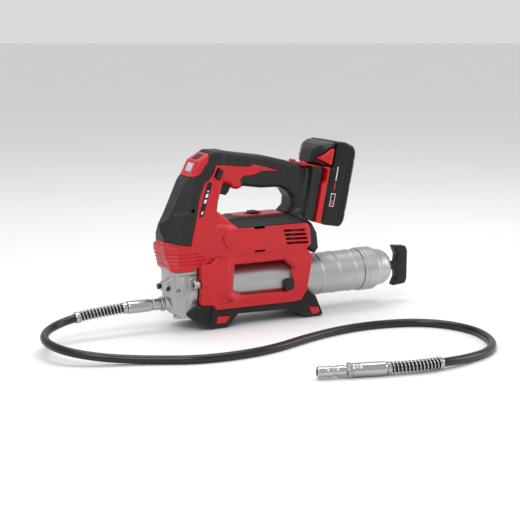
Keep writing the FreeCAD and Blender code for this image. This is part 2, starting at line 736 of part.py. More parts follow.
carrier = bar(16, 5, (GEAR_X - 6, 0, DRIVE_Z))
carrier = carrier.fuse(bar(S.output_shaft_r, 37, (GEAR_X - 42, 0, DRIVE_Z)))
for index in range(PLANETS):
    reach = math.radians(360.0 / PLANETS * index)
    pin_place = (GEAR_X - 2, CENTRE_R * math.cos(reach), DRIVE_Z + CENTRE_R * math.sin(reach))
    carrier = carrier.fuse(bar(2.0, number(S.gear_width) + 2, pin_place))
feature("planet_carrier", carrier)
crank = bar(S.crank_disc_r, 7, (GEAR_X - 42, 0, DRIVE_Z))
crank = crank.cut(bar(S.output_shaft_r, 10, (GEAR_X - 44, 0, DRIVE_Z)))
crank = crank.fuse(bar(S.crank_pin_r, 4.5, (GEAR_X - 46.4, number(S.crank_throw), DRIVE_Z)))
feature("crank", crank)
turned("gearcase", [
    (GEAR_X - 24, 11.2), (GEAR_X - 24, 14), (GEAR_X - 13, 14), (GEAR_X - 10, S.gearcase_r),
    (S.motor_front_x, S.gearcase_r), (S.motor_front_x, S.gearcase_r - 0.9),
    (GEAR_X - 7, S.gearcase_r - 0.9), (GEAR_X - 9, 12.5), (GEAR_X - 16, 12.5), (GEAR_X - 16, 11.2),
], z=S.drive_axis_z)
turned("output_bearing", [
    (GEAR_X - 24, S.output_shaft_r + 0.35), (GEAR_X - 24, 11.2), (GEAR_X - 17, 11.2),
    (GEAR_X - 17, S.output_shaft_r + 0.35),
], z=S.drive_axis_z)
motor_rear_x = S.motor_front_x + S.motor_length
turned("motor_can", [
    (S.motor_front_x, 6), (S.motor_front_x, S.motor_can_r), (motor_rear_x, S.motor_can_r),
    (motor_rear_x, 6), (motor_rear_x - 2, 6), (motor_rear_x - 2, S.motor_can_r - 1.6),
    (S.motor_front_x + 2, S.motor_can_r - 1.6), (S.motor_front_x + 2, 6),
], z=S.drive_axis_z)
magnet_shape = bar(number(S.motor_can_r) - 1.6, 46, (-88, 0, DRIVE_Z))
magnet_shape = magnet_shape.cut(bar(number(S.armature_r) + 0.6, 50, (-90, 0, DRIVE_Z)))
magnet_shape = magnet_shape.cut(band(-90, -40, -30, 30, DRIVE_Z - 3, DRIVE_Z + 3))
feature("motor_magnets", solids_only(magnet_shape))
rotor = fused([
    bar(S.motor_shaft_r, 96, (GEAR_X, 0, DRIVE_Z)),
    bar(S.armature_r, 42, (-86, 0, DRIVE_Z)),
    bar(9, 8, (-44, 0, DRIVE_Z)),
    sun,
])
feature("rotor", rotor)
fan_shape = bar(6, 9, (-27, 0, DRIVE_Z)).cut(bar(S.motor_shaft_r, 20, (-30, 0, DRIVE_Z)))
BLADES = 9
for index in range(BLADES):
    blade = band(-27, -18, 5, 19, DRIVE_Z - 0.8, DRIVE_Z + 0.8)
    blade.rotate(Vector(-22, 0, DRIVE_Z), X_AXIS, 360.0 / BLADES * index)
    fan_shape = fan_shape.fuse(blade)
feature("cooling_fan", fan_shape)

pump_x = number(S.pump_x)
yoke = block("yoke_plate", (7.6, 34, 22), (pump_x - 3.8, -17, DRIVE_Z - 11))
yoke_slot = block("yoke_slot", (20, 24, 7), (pump_x - 10, -12, DRIVE_Z - 3.5))
finish(cut("yoke", yoke, yoke_slot), "yoke")
finish(rod("plunger", S.plunger_r, DRIVE_Z - 11 - 50, (pump_x, 0, 50)), "plunger")
seal = cut(
    "plunger_seal",
    rod("seal_body", 8.5, 4, (pump_x, 0, 87.3)),
    rod("seal_hole", S.plunger_r + 0.35, 10, (pump_x, 0, 85)),
)
finish(seal, "plunger_seal")

# ---------------------------------------------------------------- controls and electrics
padded("trigger", "XZ_Plane", TRIGGER, S.trigger_half_width * 2)
feature("trigger_spring", coil(3.6, 0.5, 5, 11.4, (-100, 0, 190.5), (0, 0, 1)))
finish(block("switch_module", (25, 22, 19), (-107.6, -11, 203)), "switch_module")

padded(
    "lock_off_button", "XZ_Plane",
    [(-3.4, -5.9), (3.4, -5.9), (3.4, 5.9), (-3.4, 5.9)], 2 * LOCK_HALF,
    placement=Placement(Vector(-114, -1.5, 202), Rotation(Y_AXIS, 25)),
)
padded("selector_knob", "XZ_Plane", [
    (-61, 138), (-61, 143.6), (-57.5, 146.8), (-51.5, 146.8), (-47, 143.6), (-47, 138),
], 6.6)
padded(
    "light_switch", "XY_Plane", [(-4.9, -5.9), (4.9, -5.9), (4.9, 5.9), (-4.9, 5.9)], 6.0,
    offset=-5.0, midplane=False, placement=SWITCH_FACET,
)
padded(
    "light_lens", "XY_Plane", [(-4.6, -7.6), (4.6, -7.6), (4.6, 7.6), (-4.6, 7.6)], 3.0,
    offset=-2.6, midplane=False, placement=LENS_FACET,
)
finish(block("circuit_board", (1.6, 50, 36), (-9, -25, 94)), "circuit_board")

foot = band(FOOT_FRONT, FOOT_REAR, -FOOT_HALF, FOOT_HALF, FOOT_LOW, FOOT_HIGH)
foot = foot.fuse(band(FOOT_REAR - 0.2, -20.5, -19.5, 19.5, -50, 9))
foot = foot.cut(band(
    FOOT_FRONT + wall, FOOT_REAR - wall, wall - FOOT_HALF, FOOT_HALF - wall, FOOT_LOW + wall,
    FOOT_HIGH - wall,
))
feature("battery_foot", leaning(foot))
blades = [band(-25, -24, y - 3, y + 3, 9, 16) for y in (-12, 0, 12)]
blades.append(band(FOOT_REAR, -21, -17, 17, 9, 11))
feature("terminal_block", leaning(fused(blades)))

# ---------------------------------------------------------------- battery pack
pack_half = number(S.pack_half_width)
CASE_PLAN = [
    (-17.7, -36.5), (-14.3, -pack_half), (12, -pack_half), (21, -30), (21, 30), (12, pack_half),
    (-14.3, pack_half), (-17.7, 36.5),
]
CASE_SIDE = [
    (-17.7, -54), (-10, -56), (14, -55), (21, -48), (21, 46), (17, 56), (2.5, 57.8), (-14.3, 56.5),
    (-14.3, 21.5), (-17.7, 21.5),
]
CAP_PLAN = [
    (-40, -14), (-31, -30), (-20, -36), (-14.3, -36), (-14.3, 36), (-20, 36), (-31, 30), (-40, 14),
]
CAP_SIDE = [(-40, 21.5), (-40, 33), (-36, 43), (-27, 51), (-14.3, 56), (-14.3, 21.5)]
BUTTON_SIDE = [(-20, 47.5), (-16, 46), (-16, 25), (-18, 24.3), (-34, 29.5), (-33.5, 32)]


def plan_prism(points, inset=0.0):
    face = polygon_face(points, lambda x, y: Vector(x, y, -80))
    if inset:
        face = face.makeOffset2D(-inset, join=2)
    return face.extrude(Vector(0, 0, 160))


case = plan_prism(CASE_PLAN).common(side_prism(CASE_SIDE, 60))
for low in (-40.0, -4.0, 32.0):
    for y_low in (-50.0, 20.0):
        case = case.cut(band(17.5, 30, y_low, y_low + 30, low, low + 9))
case = case.cut(band(-8.4, 11.6, -33.5, 33.5, -51, 49))
feature("pack_case", leaning(solids_only(case)))
liner = band(-26, -17.7, -36.5, 36.5, -54, 21.5)
liner = liner.cut(band(-27, -20.5 + number(S.slide_gap), -20, 20, -55, 18))
feature("pack_liner", leaning(solids_only(liner)))
cap = plan_prism(CAP_PLAN).common(side_prism(CAP_SIDE, 60))
button_room = side_face(BUTTON_SIDE).makeOffset2D(0.4, join=2)
button_room.translate(Vector(0, -60, 0))
cap = cap.cut(button_room.extrude(Vector(0, 120, 0)).cut(plan_prism(CAP_PLAN, 9.5)))
feature("pack_cap", leaning(solids_only(cap)))
button_stock = side_prism(BUTTON_SIDE, 60).common(plan_prism(CAP_PLAN, -number(S.button_rise)))
button_stock = button_stock.cut(plan_prism(CAP_PLAN, 5.0))
for label, low in (("release_left", -60), ("release_right", 10)):
    half_space = band(-60, 60, low, low + 50, -80, 80)
    feature(label, leaning(solids_only(button_stock.common(half_space))))
cell_set = []
for index in range(CELLS):
    cell = rod(f"cell_{index}", S.cell_r, S.cell_length, (0, 0, 0))
    along = number(S.cell_pitch) * (index - (CELLS - 1) / 2) - 1
    local = Placement(Vector(1.6, -number(S.cell_length) / 2, along), Rotation(Z_AXIS, Y_AXIS))
    cell.Placement = PACK_PLACE.multiply(local)
    cell_set.append(cell)
cells = doc.addObject("Part::Compound", "battery_cells")
cells.Links = cell_set
finish(cells, "battery_cells")

# ---------------------------------------------------------------- hose
FLOOR_Z = 5.3
ROUTE = [
    (-236, 0, 34.8), (-274, 0, 33), (-314, 0, 28), (-348, -19, 23), (-364, -55, 20),
    (-354, -94, 16.5), (-323, -118, 11), (-286, -131, 6.5), (-250, -147, FLOOR_Z),
    (-216, -164, FLOOR_Z), (-177, -170, FLOOR_Z), (-139, -169, FLOOR_Z), (-101, -161, FLOOR_Z),
    (-65, -146, FLOOR_Z), (-28, -133, FLOOR_Z), (10, -124, FLOOR_Z), (48, -121, FLOOR_Z),
    (87, -126, FLOOR_Z), (123, -139, FLOOR_Z), (149, -166, FLOOR_Z), (161, -203, FLOOR_Z),
    (155, -241, FLOOR_Z), (137, -275, FLOOR_Z), (107, -298, FLOOR_Z), (71, -310, 6.5),
    (34, -317, 8.4), (-4, -316, 8.5), (-40, -306, 8.5),
]
BEND_SHARE = 0.45


def hose_edges(route):
    """Straight runs joined by tangent arcs, each arc as large as its two runs allow."""
    points = [Vector(*p) for p in route]
    edges = []
    radii = []
    start = points[0]
    for before, corner, after in zip(points, points[1:], points[2:]):
        back = (before - corner).normalize()
        ahead = (after - corner).normalize()
        reach = BEND_SHARE * min((before - corner).Length, (after - corner).Length)
        half_turn = (math.pi - back.getAngle(ahead)) / 2
        radius = reach / math.tan(half_turn)
        radii.append(radius)
        middle_way = (back + ahead).normalize()
        centre_distance = radius / math.cos(half_turn)
        middle = corner + middle_way * (centre_distance - radius)
        arc_start = corner + back * reach
        arc_end = corner + ahead * reach
        edges.append(Part.LineSegment(start, arc_start).toShape())
        edges.append(Part.Arc(arc_start, middle, arc_end).toShape())
        start = arc_end
    edges.append(Part.LineSegment(start, points[-1]).toShape())
    return edges, radii


def sweep(edges, radius):
    path = Part.Wire(edges)
    begin = edges[0].Vertexes[0].Point
    along = edges[0].tangentAt(edges[0].FirstParameter)
    ring = Part.Wire([Part.makeCircle(radius, begin, along)])
    return path.makePipeShell([ring], True, False)


def first_stretch(edges, length):
    """The path's first edges, cut off at the given length."""
    result = []
    left = length
    for edge in edges:
        if edge.Length >= left:
            end = edge.getParameterByLength(left)
            result.append(edge.Curve.toShape(edge.FirstParameter, end))
            return result
        result.append(edge)
        left -= edge.Length
    return result


route_edges, route_radii = hose_edges(ROUTE)
print("hose radii", [round(r) for r in route_radii])
hose = sweep(route_edges, number(S.hose_r))
path_length = sum(edge.Length for edge in route_edges)
print("hose length", round(path_length, 1))
section = math.pi * number(S.hose_r) ** 2
print("hose volume over section times length", round(hose.Volume / (section * path_length), 4))
feature("hose", hose)

back_edges = hose_edges(ROUTE[::-1])[0]
for label, edges in (("head_spring_guard", route_edges), ("far_spring_guard", back_edges)):
    stretch = first_stretch(edges, number(S.guard_length))
    sleeve = sweep(stretch, number(S.guard_r)).cut(sweep(stretch, number(S.hose_r) + 0.35))
    feature(label, solids_only(sleeve))

ferrule_end_x = -S.head_ferrule_length - 190
turned("head_ferrule", [
    (ferrule_end_x, 0), (ferrule_end_x, 7.4), (ferrule_end_x + 1.5, S.ferrule_r),
    (-204, S.ferrule_r), (-203, 7.6), (-190, 7.6), (-190, 2.5), (-228, 2.5), (-228, 0),
], z=S.outlet_z)

last = Vector(*ROUTE[-1])
away = (last - Vector(*ROUTE[-2]))
away = Vector(away.x, away.y, 0).normalize()
FAR_PLACE = Placement(last, Rotation(X_AXIS, away))
turned("far_ferrule", [
    (0, 0), (0, 7.2), (2, S.ferrule_r), (31, S.ferrule_r), (32, 7.7), (33, S.ferrule_r),
    (34, 7.7), (35, S.ferrule_r), (36, 7.7), (S.far_ferrule_length, 7.7), (S.far_ferrule_length, 2.5),
    (8, 2.5), (8, 0),
], placement=FAR_PLACE)
NUT_CORNER = number(S.coupler_nut_flat_r) / math.cos(math.radians(30))
nut_points = [
    (NUT_CORNER * math.cos(math.radians(a)), NUT_CORNER * math.sin(math.radians(a)))
    for a in range(0, 360, 60)
]
nut = padded(
    "coupler_nut", "YZ_Plane", nut_points, S.coupler_nut_length, offset=0, midplane=False,
    placement=FAR_PLACE.multiply(Placement(Vector(number(S.far_ferrule_length), 0, 0), Rotation())),
)
pocket_circles(nut, "YZ_Plane", [(0, 0, 2.5)], 30)
COUPLER_PLACE = FAR_PLACE.multiply(
    Placement(Vector(number(S.far_ferrule_length + S.coupler_nut_length), 0, 0), Rotation())
)
turned("coupler", [
    (0, 2.5), (0, 5.2), (2.5, 5.2), (2.5, 6.6), (11, 6.6), (12, 5.8), (16, 5.8), (17, S.coupler_r),
    (S.coupler_length - 1.2, S.coupler_r), (S.coupler_length, S.coupler_r - 1),
    (S.coupler_length, S.coupler_bore_r),
    (S.coupler_length - S.coupler_bore_depth, S.coupler_bore_r),
    (S.coupler_length - S.coupler_bore_depth, 2.5),
], placement=COUPLER_PLACE)

# ---------------------------------------------------------------- check and write
doc.recompute()
faults = []
for obj in doc.Objects:
    if "Invalid" in obj.State or "Error" in obj.State:
        faults.append(f"{obj.Label}: {obj.State}")
for obj in subparts:
    if obj.Shape.isNull() or not obj.Shape.isValid() or not obj.Shape.Solids:
        faults.append(f"{obj.Label}: bad shape")
if faults:
    raise ValueError("; ".join(faults))
os.makedirs("parts", exist_ok=True)
for obj in subparts:
    obj.Shape.exportStep(os.path.join("parts", f"{obj.Label}.step"))
    print(f"{obj.Label}: {len(obj.Shape.Solids)} solid(s), {obj.Shape.Volume:.0f} mm3")
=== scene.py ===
"""The looks of a battery grease gun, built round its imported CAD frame. Shapes are in millimetres."""

import json
import math

import bpy
import numpy as np
from mathutils import Matrix, Vector


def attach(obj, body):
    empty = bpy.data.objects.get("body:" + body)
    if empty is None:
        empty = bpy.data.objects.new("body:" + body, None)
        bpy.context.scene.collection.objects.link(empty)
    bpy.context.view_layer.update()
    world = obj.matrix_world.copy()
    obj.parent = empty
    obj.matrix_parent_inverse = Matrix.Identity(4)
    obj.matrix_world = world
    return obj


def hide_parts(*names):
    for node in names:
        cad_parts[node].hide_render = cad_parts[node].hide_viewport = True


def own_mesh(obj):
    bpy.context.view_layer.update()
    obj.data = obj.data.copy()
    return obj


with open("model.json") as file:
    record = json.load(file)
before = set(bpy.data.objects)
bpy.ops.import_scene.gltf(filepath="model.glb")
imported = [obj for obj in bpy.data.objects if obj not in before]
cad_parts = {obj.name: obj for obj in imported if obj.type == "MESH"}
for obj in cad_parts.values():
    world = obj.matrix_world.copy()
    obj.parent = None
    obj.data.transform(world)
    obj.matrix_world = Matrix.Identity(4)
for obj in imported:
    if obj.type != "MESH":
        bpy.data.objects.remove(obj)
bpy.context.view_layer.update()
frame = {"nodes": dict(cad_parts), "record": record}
NODES = frame["nodes"]
MM = 0.001


# ---- camera
def linked(name, data):
    """A new object of this data, in the scene."""
    thing = bpy.data.objects.new(name, data)
    bpy.context.scene.collection.objects.link(thing)
    return thing


def aimed(thing, place, direction):
    """Stands a camera or a light at a place, looking along a direction."""
    thing.location = place
    thing.rotation_mode = "QUATERNION"
    thing.rotation_quaternion = Vector(direction).to_track_quat("-Z", "Y")


def make_camera():
    data = bpy.data.cameras.new("camera")
    data.lens = 83.1
    data.clip_start = 0.05
    data.clip_end = 20
    camera = linked("camera", data)
    aimed(camera, (-0.7696, -1.4064, 0.3972), (0.4497, 0.8712, -0.1968))
    bpy.context.scene.camera = camera


make_camera()


# ---- materials
WORN_EDGE = (0.52, 0.60)    # from which to which pointiness the wear sets in
RAMP = (0.3, 0.7)           # between which noise values the base colour goes from dark to light


def shader(name, slot_name, base, roughness, metallic=0.0, variation=0.08, grain=900.0, bump=0.02,
           rough_spread=0.06, wear=0.0, coat=0.0, stretch=(1, 1, 1), specular=0.5):
    """A principled material with mottled colour and roughness, a fine grain and lighter worn edges."""
    material = bpy.data.materials.new(name)
    material.use_nodes = True
    material["slot"] = slot_name
    nodes, links = material.node_tree.nodes, material.node_tree.links

    def feed(node, inputs):
        for key, value in inputs.items():
            if isinstance(value, bpy.types.NodeSocket):
                links.new(value, node.inputs[key])
            else:
                node.inputs[key].default_value = value
        return node

    def made(kind, output, inputs):
        return feed(nodes.new("ShaderNode" + kind), inputs).outputs[output]

    place = made("Mapping", "Vector", {"Scale": stretch, "Vector": made("TexCoord", "Object", {})})
    broad = made("TexNoise", "Fac", {"Scale": grain / 18, "Detail": 4.0, "Vector": place})
    fine = made("TexNoise", "Fac", {"Scale": grain, "Detail": 3.0, "Vector": place})
    ramp = nodes.new("ShaderNodeValToRGB")
    for element, position, share in zip(ramp.color_ramp.elements, RAMP, (1 - variation, 1 + variation)):
        element.position = position
        element.color = [min(1, c * share) for c in base] + [1]
    colour = feed(ramp, {"Fac": broad}).outputs["Color"]
    if wear:
        edges = made("MapRange", "Result", {
            "Value": made("NewGeometry", "Pointiness", {}),
            "From Min": WORN_EDGE[0], "From Max": WORN_EDGE[1], "To Max": wear,
        })
        lighter = [min(1, c * 1.5 + 0.08) for c in base] + [1]
        colour = made("MixRGB", "Color", {"Fac": edges, "Color1": colour, "Color2": lighter})
    feed(nodes["Principled BSDF"], {
        "Metallic": metallic, "Coat Weight": coat, "Coat Roughness": 0.15, "Specular IOR Level": specular,
        "Base Color": colour,
        "Roughness": made("MapRange", "Result", {
            "Value": broad, "To Min": roughness - rough_spread, "To Max": roughness + rough_spread,
        }),
        "Normal": made("Bump", "Normal", {"Strength": 0.6, "Distance": bump * MM, "Height": fine}),
    })
    return material


RED = shader("red_plastic", "red_shell", (0.50, 0.004, 0.010), 0.33, variation=0.05, bump=0.03, wear=0.12)
OVERMOULD = shader("soft_overmould", "black_overmould", (0.0085, 0.0088, 0.0095), 0.46, variation=0.15,
                   grain=1400, bump=0.05, wear=0.08, specular=0.4)
NYLON = shader("black_nylon", "black_plastic", (0.006, 0.0062, 0.0068), 0.38, variation=0.15, grain=1200,
               bump=0.04, wear=0.1, specular=0.35)
PACK = shader("pack_plastic", "pack_plastic", (0.005, 0.005, 0.0055), 0.30, variation=0.15, grain=1300,
              bump=0.03, wear=0.1, specular=0.35)
CAST = shader("cast_aluminium", "cast_aluminium", (0.46, 0.465, 0.455), 0.44, metallic=1.0, grain=700,
              variation=0.1, bump=0.06, wear=0.3)
TUBE = shader("drawn_tube", "barrel_finish", (0.47, 0.472, 0.478), 0.38, metallic=1.0, grain=1500,
              variation=0.05, bump=0.02, stretch=(0.15, 1, 1))
STEEL = shader("plated_steel", "bright_steel", (0.46, 0.465, 0.47), 0.19, metallic=1.0, grain=900,
               variation=0.06, bump=0.012)
OXIDE = shader("black_oxide", "dark_steel", (0.035, 0.036, 0.038), 0.4, metallic=0.6, grain=900)
RUBBER = shader("hose_rubber", "black_rubber", (0.0035, 0.0035, 0.004), 0.27, variation=0.2, grain=1100,
                bump=0.03)
BRASS = shader("contact_brass", "brass", (0.72, 0.50, 0.20), 0.3, metallic=1.0)
BOARD = shader("solder_mask", "board_green", (0.02, 0.16, 0.06), 0.35, variation=0.2)
LENS = shader("frosted_lens", "clear_lens", (0.50, 0.52, 0.54), 0.22, variation=0.04, coat=0.6)
WHITE_INK = shader("white_ink", "pack_plastic", (0.80, 0.80, 0.80), 0.5, variation=0.03)
RED_INK = shader("red_ink", "pack_plastic", (0.62, 0.006, 0.014), 0.45, variation=0.05)

SLOT_MATERIAL = {
    "red_shell": RED, "black_overmould": OVERMOULD, "black_plastic": NYLON, "pack_plastic": PACK,
    "cast_aluminium": CAST, "barrel_finish": TUBE, "bright_steel": STEEL, "dark_steel": OXIDE,
    "brass": BRASS, "black_rubber": RUBBER, "board_green": BOARD, "clear_lens": LENS,
}


def paint_frame():
    """Every CAD node takes the material of its record slot."""
    for part in frame["record"]["subparts"]:
        node = NODES[part["node"]]
        node.data.materials.clear()
        node.data.materials.append(SLOT_MATERIAL[part["material_slot"]])


paint_frame()


# ---- pieces
def adopt(piece, body, material, replaced=()):
    """Gives a new piece its material and its body, and hides the CAD nodes it stands for."""
    piece.data.materials.clear()
    piece.data.materials.append(material)
    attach(piece, body)
    if replaced:
        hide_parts(*replaced)
    return piece


def mesh_piece(name, points, faces, body, material, replaced=(), place=None):
    """A smooth-shaded mesh from points in millimetres, laid in place by an optional matrix."""
    points = np.asarray(points, float)
    if place is not None:
        turn = np.array(place.to_3x3())
        points = points @ turn.T + np.array(place.translation)
    mesh = bpy.data.meshes.new(name)
    mesh.from_pydata((points * MM).tolist(), [], [list(map(int, face)) for face in faces])
    mesh.update()
    mesh.validate()
    mesh.shade_smooth()
    return adopt(linked(name, mesh), body, material, replaced)


def surface_net(field, low, step):
    """The zero surface of a sampled field: one point in each crossed cell, one quad at each crossed edge."""
    inside = field < 0
    size = np.array(field.shape)
    cells = size - 1
    offsets = [(i, j, k) for i in (0, 1) for j in (0, 1) for k in (0, 1)]

    def corner(array, offset):
        i, j, k = offset
        return array[i:cells[0] + i, j:cells[1] + j, k:cells[2] + k]

    signs = [corner(inside, offset) for offset in offsets]
    crossed = np.any(signs, 0) & ~np.all(signs, 0)
    where = np.argwhere(crossed)
    number = np.full(cells, -1, np.int64)
    number[crossed] = np.arange(len(where))
    total = np.zeros((len(where), 3))
    count = np.zeros(len(where))
    for offset in offsets:
        for axis in range(3):
            if offset[axis]:
                continue
            near = where + offset
            far = near.copy()
            far[:, axis] += 1
            a = field[tuple(near.T)]
            b = field[tuple(far.T)]
            cut = (a < 0) != (b < 0)
            share = a[cut] / (a[cut] - b[cut])
            point = np.array(offset, float) + share[:, None] * np.eye(3)[axis]
            total[cut] += point
            count[cut] += 1
    points = (where + total / count[:, None]) * step + np.array(low)
    faces = []
    for axis in range(3):
        u, v = (axis + 1) % 3, (axis + 2) % 3
        near = [slice(1, -1)] * 3
        far = [slice(1, -1)] * 3
        near[axis] = slice(0, -1)
        far[axis] = slice(1, None)
        changed = inside[tuple(near)] != inside[tuple(far)]
        place = np.argwhere(changed)
        place[:, u] += 1
        place[:, v] += 1
        outward = inside[tuple(place.T)]
        ring = []
        for du, dv in ((-1, -1), (0, -1), (0, 0), (-1, 0)):
            cell = place.copy()
            cell[:, u] += du
            cell[:, v] += dv
            ring.append(number[tuple(cell.T)])
        quads = np.stack(ring, 1)
        quads[~outward] = quads[~outward][:, ::-1]
        faces.append(quads)
    return points, np.concatenate(faces)


def sampled(shape, axes, kind):
    """The field shape(x, y, z) at every point of a grid."""
    x, y, z = np.ix_(*(a.astype(kind) for a in axes))
    return np.array(np.broadcast_to(shape(x, y, z), [len(a) for a in axes]), kind)


def close_off(field, rim):
    """Sets the grid's outer faces to a positive value, so that the surface is closed."""
    field[[0, -1]] = field[:, [0, -1]] = field[:, :, [0, -1]] = rim


def carved(name, shape, low, high, step, body, material, replaced=(), place=None, mirrored=False):
    """A piece from a distance field sampled over a box, or over its -Y half and mirrored."""
    axes = [np.arange(a - step * 1.5, b + step * 1.5, step) for a, b in zip(low, high)]
    if mirrored:
        axes[1] = -(np.arange(math.ceil(-low[1] / step) + 2)[::-1] + 0.5) * step
    field = sampled(shape, axes, np.float32)
    if mirrored:
        field = np.concatenate([field, field[:, ::-1]], 1)
    close_off(field, step)
    points, faces = surface_net(field, [a[0] for a in axes], step)
    return mesh_piece(name, points, faces, body, material, replaced, place)


# ---- distance fields
def polygon(points, a, b):
    """Signed distance to a closed outline in the plane of a and b, below 0 inside."""
    a, b = np.broadcast_arrays(a, b)
    nearest = np.full(a.shape, 1e9)
    inside = np.zeros(a.shape, bool)
    for (a0, b0), (a1, b1) in zip(points, points[1:] + points[:1]):
        run_a, run_b = a1 - a0, b1 - b0
        share = ((a - a0) * run_a + (b - b0) * run_b) / (run_a ** 2 + run_b ** 2)
        share = np.clip(share, 0, 1)
        nearest = np.minimum(nearest, (a - a0 - share * run_a) ** 2 + (b - b0 - share * run_b) ** 2)
        if b0 != b1:
            crosses = ((b0 > b) != (b1 > b)) & (a < a0 + (b - b0) * run_a / run_b)
            inside ^= crosses
    return np.where(inside, -1, 1) * np.sqrt(nearest)


def both(a, b, radius=0.0):
    """Where both fields are inside, with a round edge."""
    if np.isscalar(radius) and radius == 0:
        return np.maximum(a, b)
    u, v = a + radius, b + radius
    return np.minimum(np.maximum(u, v), 0) + np.hypot(np.maximum(u, 0), np.maximum(v, 0)) - radius


def either(a, b, fillet=0.0):
    """Where either field is inside, with a fillet between them."""
    return -both(-a, -b, fillet)


def without(a, b, radius=0.0):
    return both(a, -b, radius)


def slab(v, low, high):
    return np.maximum(low - v, v - high)


def bar(u, v, u0, u1, v0, v1, radius=0.0):
    """A rectangle in the plane of u and v, with round corners."""
    return both(slab(u, u0, u1), slab(v, v0, v1), radius)


def tube_field(u, v, radius):
    return np.hypot(u, v) - radius


def block(x, y, z, low, high, radius=1.0):
    """A box with round edges."""
    middle = [(a + b) / 2 for a, b in zip(low, high)]
    half = [(b - a) / 2 - radius for a, b in zip(low, high)]
    q = [np.abs(c - m) - h for c, m, h in zip((x, y, z), middle, half)]
    out = np.sqrt(sum(np.maximum(c, 0) ** 2 for c in q))
    return out + np.minimum(np.maximum(q[0], np.maximum(q[1], q[2])), 0) - radius


def stripe(v, centre, half_width):
    """1 along a line and 0 beyond half_width from it, with smooth sides."""
    t = np.clip(1 - np.abs(v - centre) / half_width, 0, 1)
    return t * t * (3 - 2 * t)


def turned(u, v, centre, angle):
    """Coordinates in a frame that stands at centre and is turned by angle."""
    c, s = math.cos(angle), math.sin(angle)
    du, dv = u - centre[0], v - centre[1]
    return du * c - dv * s, du * s + dv * c


def hexagon(y, z, flat_r, first):
    """A hexagon about local X, with a flat at first degrees and at every 60 from there."""
    sides = [np.abs(y * math.cos(a) + z * math.sin(a)) for a in np.radians((first, first + 60, first + 120))]
    return np.maximum(np.maximum(sides[0], sides[1]), sides[2]) - flat_r


def rectangle(u0, v0, u1, v1):
    return [(u0, v0), (u1, v0), (u1, v1), (u0, v1)]


def span(side, near, far):
    """The low and the high Y of a stretch on one side."""
    return sorted((side * near, side * far))


LEAN = math.radians(11)
PACK_PIVOT = (57.0, 179.0)
PACK_PLACE = Matrix.Translation((57, 0, 179)) @ Matrix.Rotation(LEAN, 4, "Y")


def leaned(x, z):
    """The pack's own upright coordinates of points in the row frame."""
    return turned(x, z, PACK_PIVOT, LEAN)


# ---- hose and its fittings
ROUTE = [
    (-0.236, 0, 0.0348), (-0.274, 0, 0.033), (-0.314, 0, 0.028), (-0.348, -0.019, 0.023),
    (-0.364, -0.055, 0.020), (-0.354, -0.094, 0.0165), (-0.323, -0.118, 0.011), (-0.286, -0.131, 0.0065),
    (-0.250, -0.147, 0.0053), (-0.216, -0.164, 0.0053), (-0.177, -0.170, 0.0053), (-0.139, -0.169, 0.0053),
    (-0.101, -0.161, 0.0053), (-0.065, -0.146, 0.0053), (-0.028, -0.133, 0.0053), (0.010, -0.124, 0.0053),
    (0.048, -0.121, 0.0053), (0.087, -0.126, 0.0053), (0.123, -0.139, 0.0053), (0.149, -0.166, 0.0053),
    (0.161, -0.203, 0.0053), (0.155, -0.241, 0.0053), (0.137, -0.275, 0.0053), (0.107, -0.298, 0.0053),
    (0.071, -0.310, 0.0065), (0.034, -0.317, 0.0084), (-0.004, -0.316, 0.0085), (-0.040, -0.306, 0.0085),
]
HOSE_R = 5.25
HEAD_FITTING_PLACE = Matrix.Translation((0, 0, 34.8))
GUARD_LENGTH = 69.5
GUARD_SLEEVE = 5.0
COIL_TURNS = 14
COIL_R = 6.5
COIL_WIRE_R = 0.85
STRETCH_POINTS = 320
CREASE = math.radians(12)


def route_curve(name, radius):
    data = bpy.data.curves.new(name, "CURVE")
    data.dimensions = "3D"
    data.resolution_u = 16
    data.bevel_depth = radius * MM
    data.bevel_resolution = 6
    spline = data.splines.new("NURBS")
    spline.points.add(len(ROUTE) - 1)
    for point, place in zip(spline.points, ROUTE):
        point.co = (*place, 1)
    spline.order_u = 3
    spline.use_endpoint_u = True
    return linked(name, data)


def route_points():
    """Points along the hose's own line, in millimetres."""
    line = route_curve("line", 0.0)
    bpy.context.view_layer.update()
    mesh = bpy.data.meshes.new_from_object(line)
    points = np.array([v.co for v in mesh.vertices]) / MM
    bpy.data.objects.remove(line)
    return points


def frames_along(points):
    """A tangent and two normals at each point, turning as little as they can."""
    tangents = np.gradient(points, axis=0)
    tangents /= np.linalg.norm(tangents, axis=1)[:, None]
    normal = np.cross(tangents[0], (0, 0, 1.0))
    normals = []
    for tangent in tangents:
        normal = normal - tangent * (normal @ tangent)
        normal = normal / np.linalg.norm(normal)
        normals.append(normal)
    normals = np.array(normals)
    return tangents, normals, np.cross(tangents, normals)


def ring_faces(rows, sides):
    """Quads between neighbouring rings of points."""
    faces = []
    for start in range(0, (rows - 1) * sides, sides):
        for j in range(sides):
            k = (j + 1) % sides
            faces.append([start + j, start + sides + j, start + sides + k, start + k])
    return faces


def swept(name, path, radius, sides, body, material, replaced=()):
    """A round wire along a path, closed at both ends."""
    _, normals, others = frames_along(path)
    angles = np.arange(sides) * 2 * np.pi / sides
    rings = path[:, None] + radius * (
        np.cos(angles)[None, :, None] * normals[:, None] + np.sin(angles)[None, :, None] * others[:, None]
    )
    faces = [[a, d, c, b] for a, b, c, d in ring_faces(len(path), sides)]
    faces.append(list(range(sides))[::-1])
    faces.append([(len(path) - 1) * sides + j for j in range(sides)])
    return mesh_piece(name, rings.reshape(-1, 3), faces, body, material, replaced)


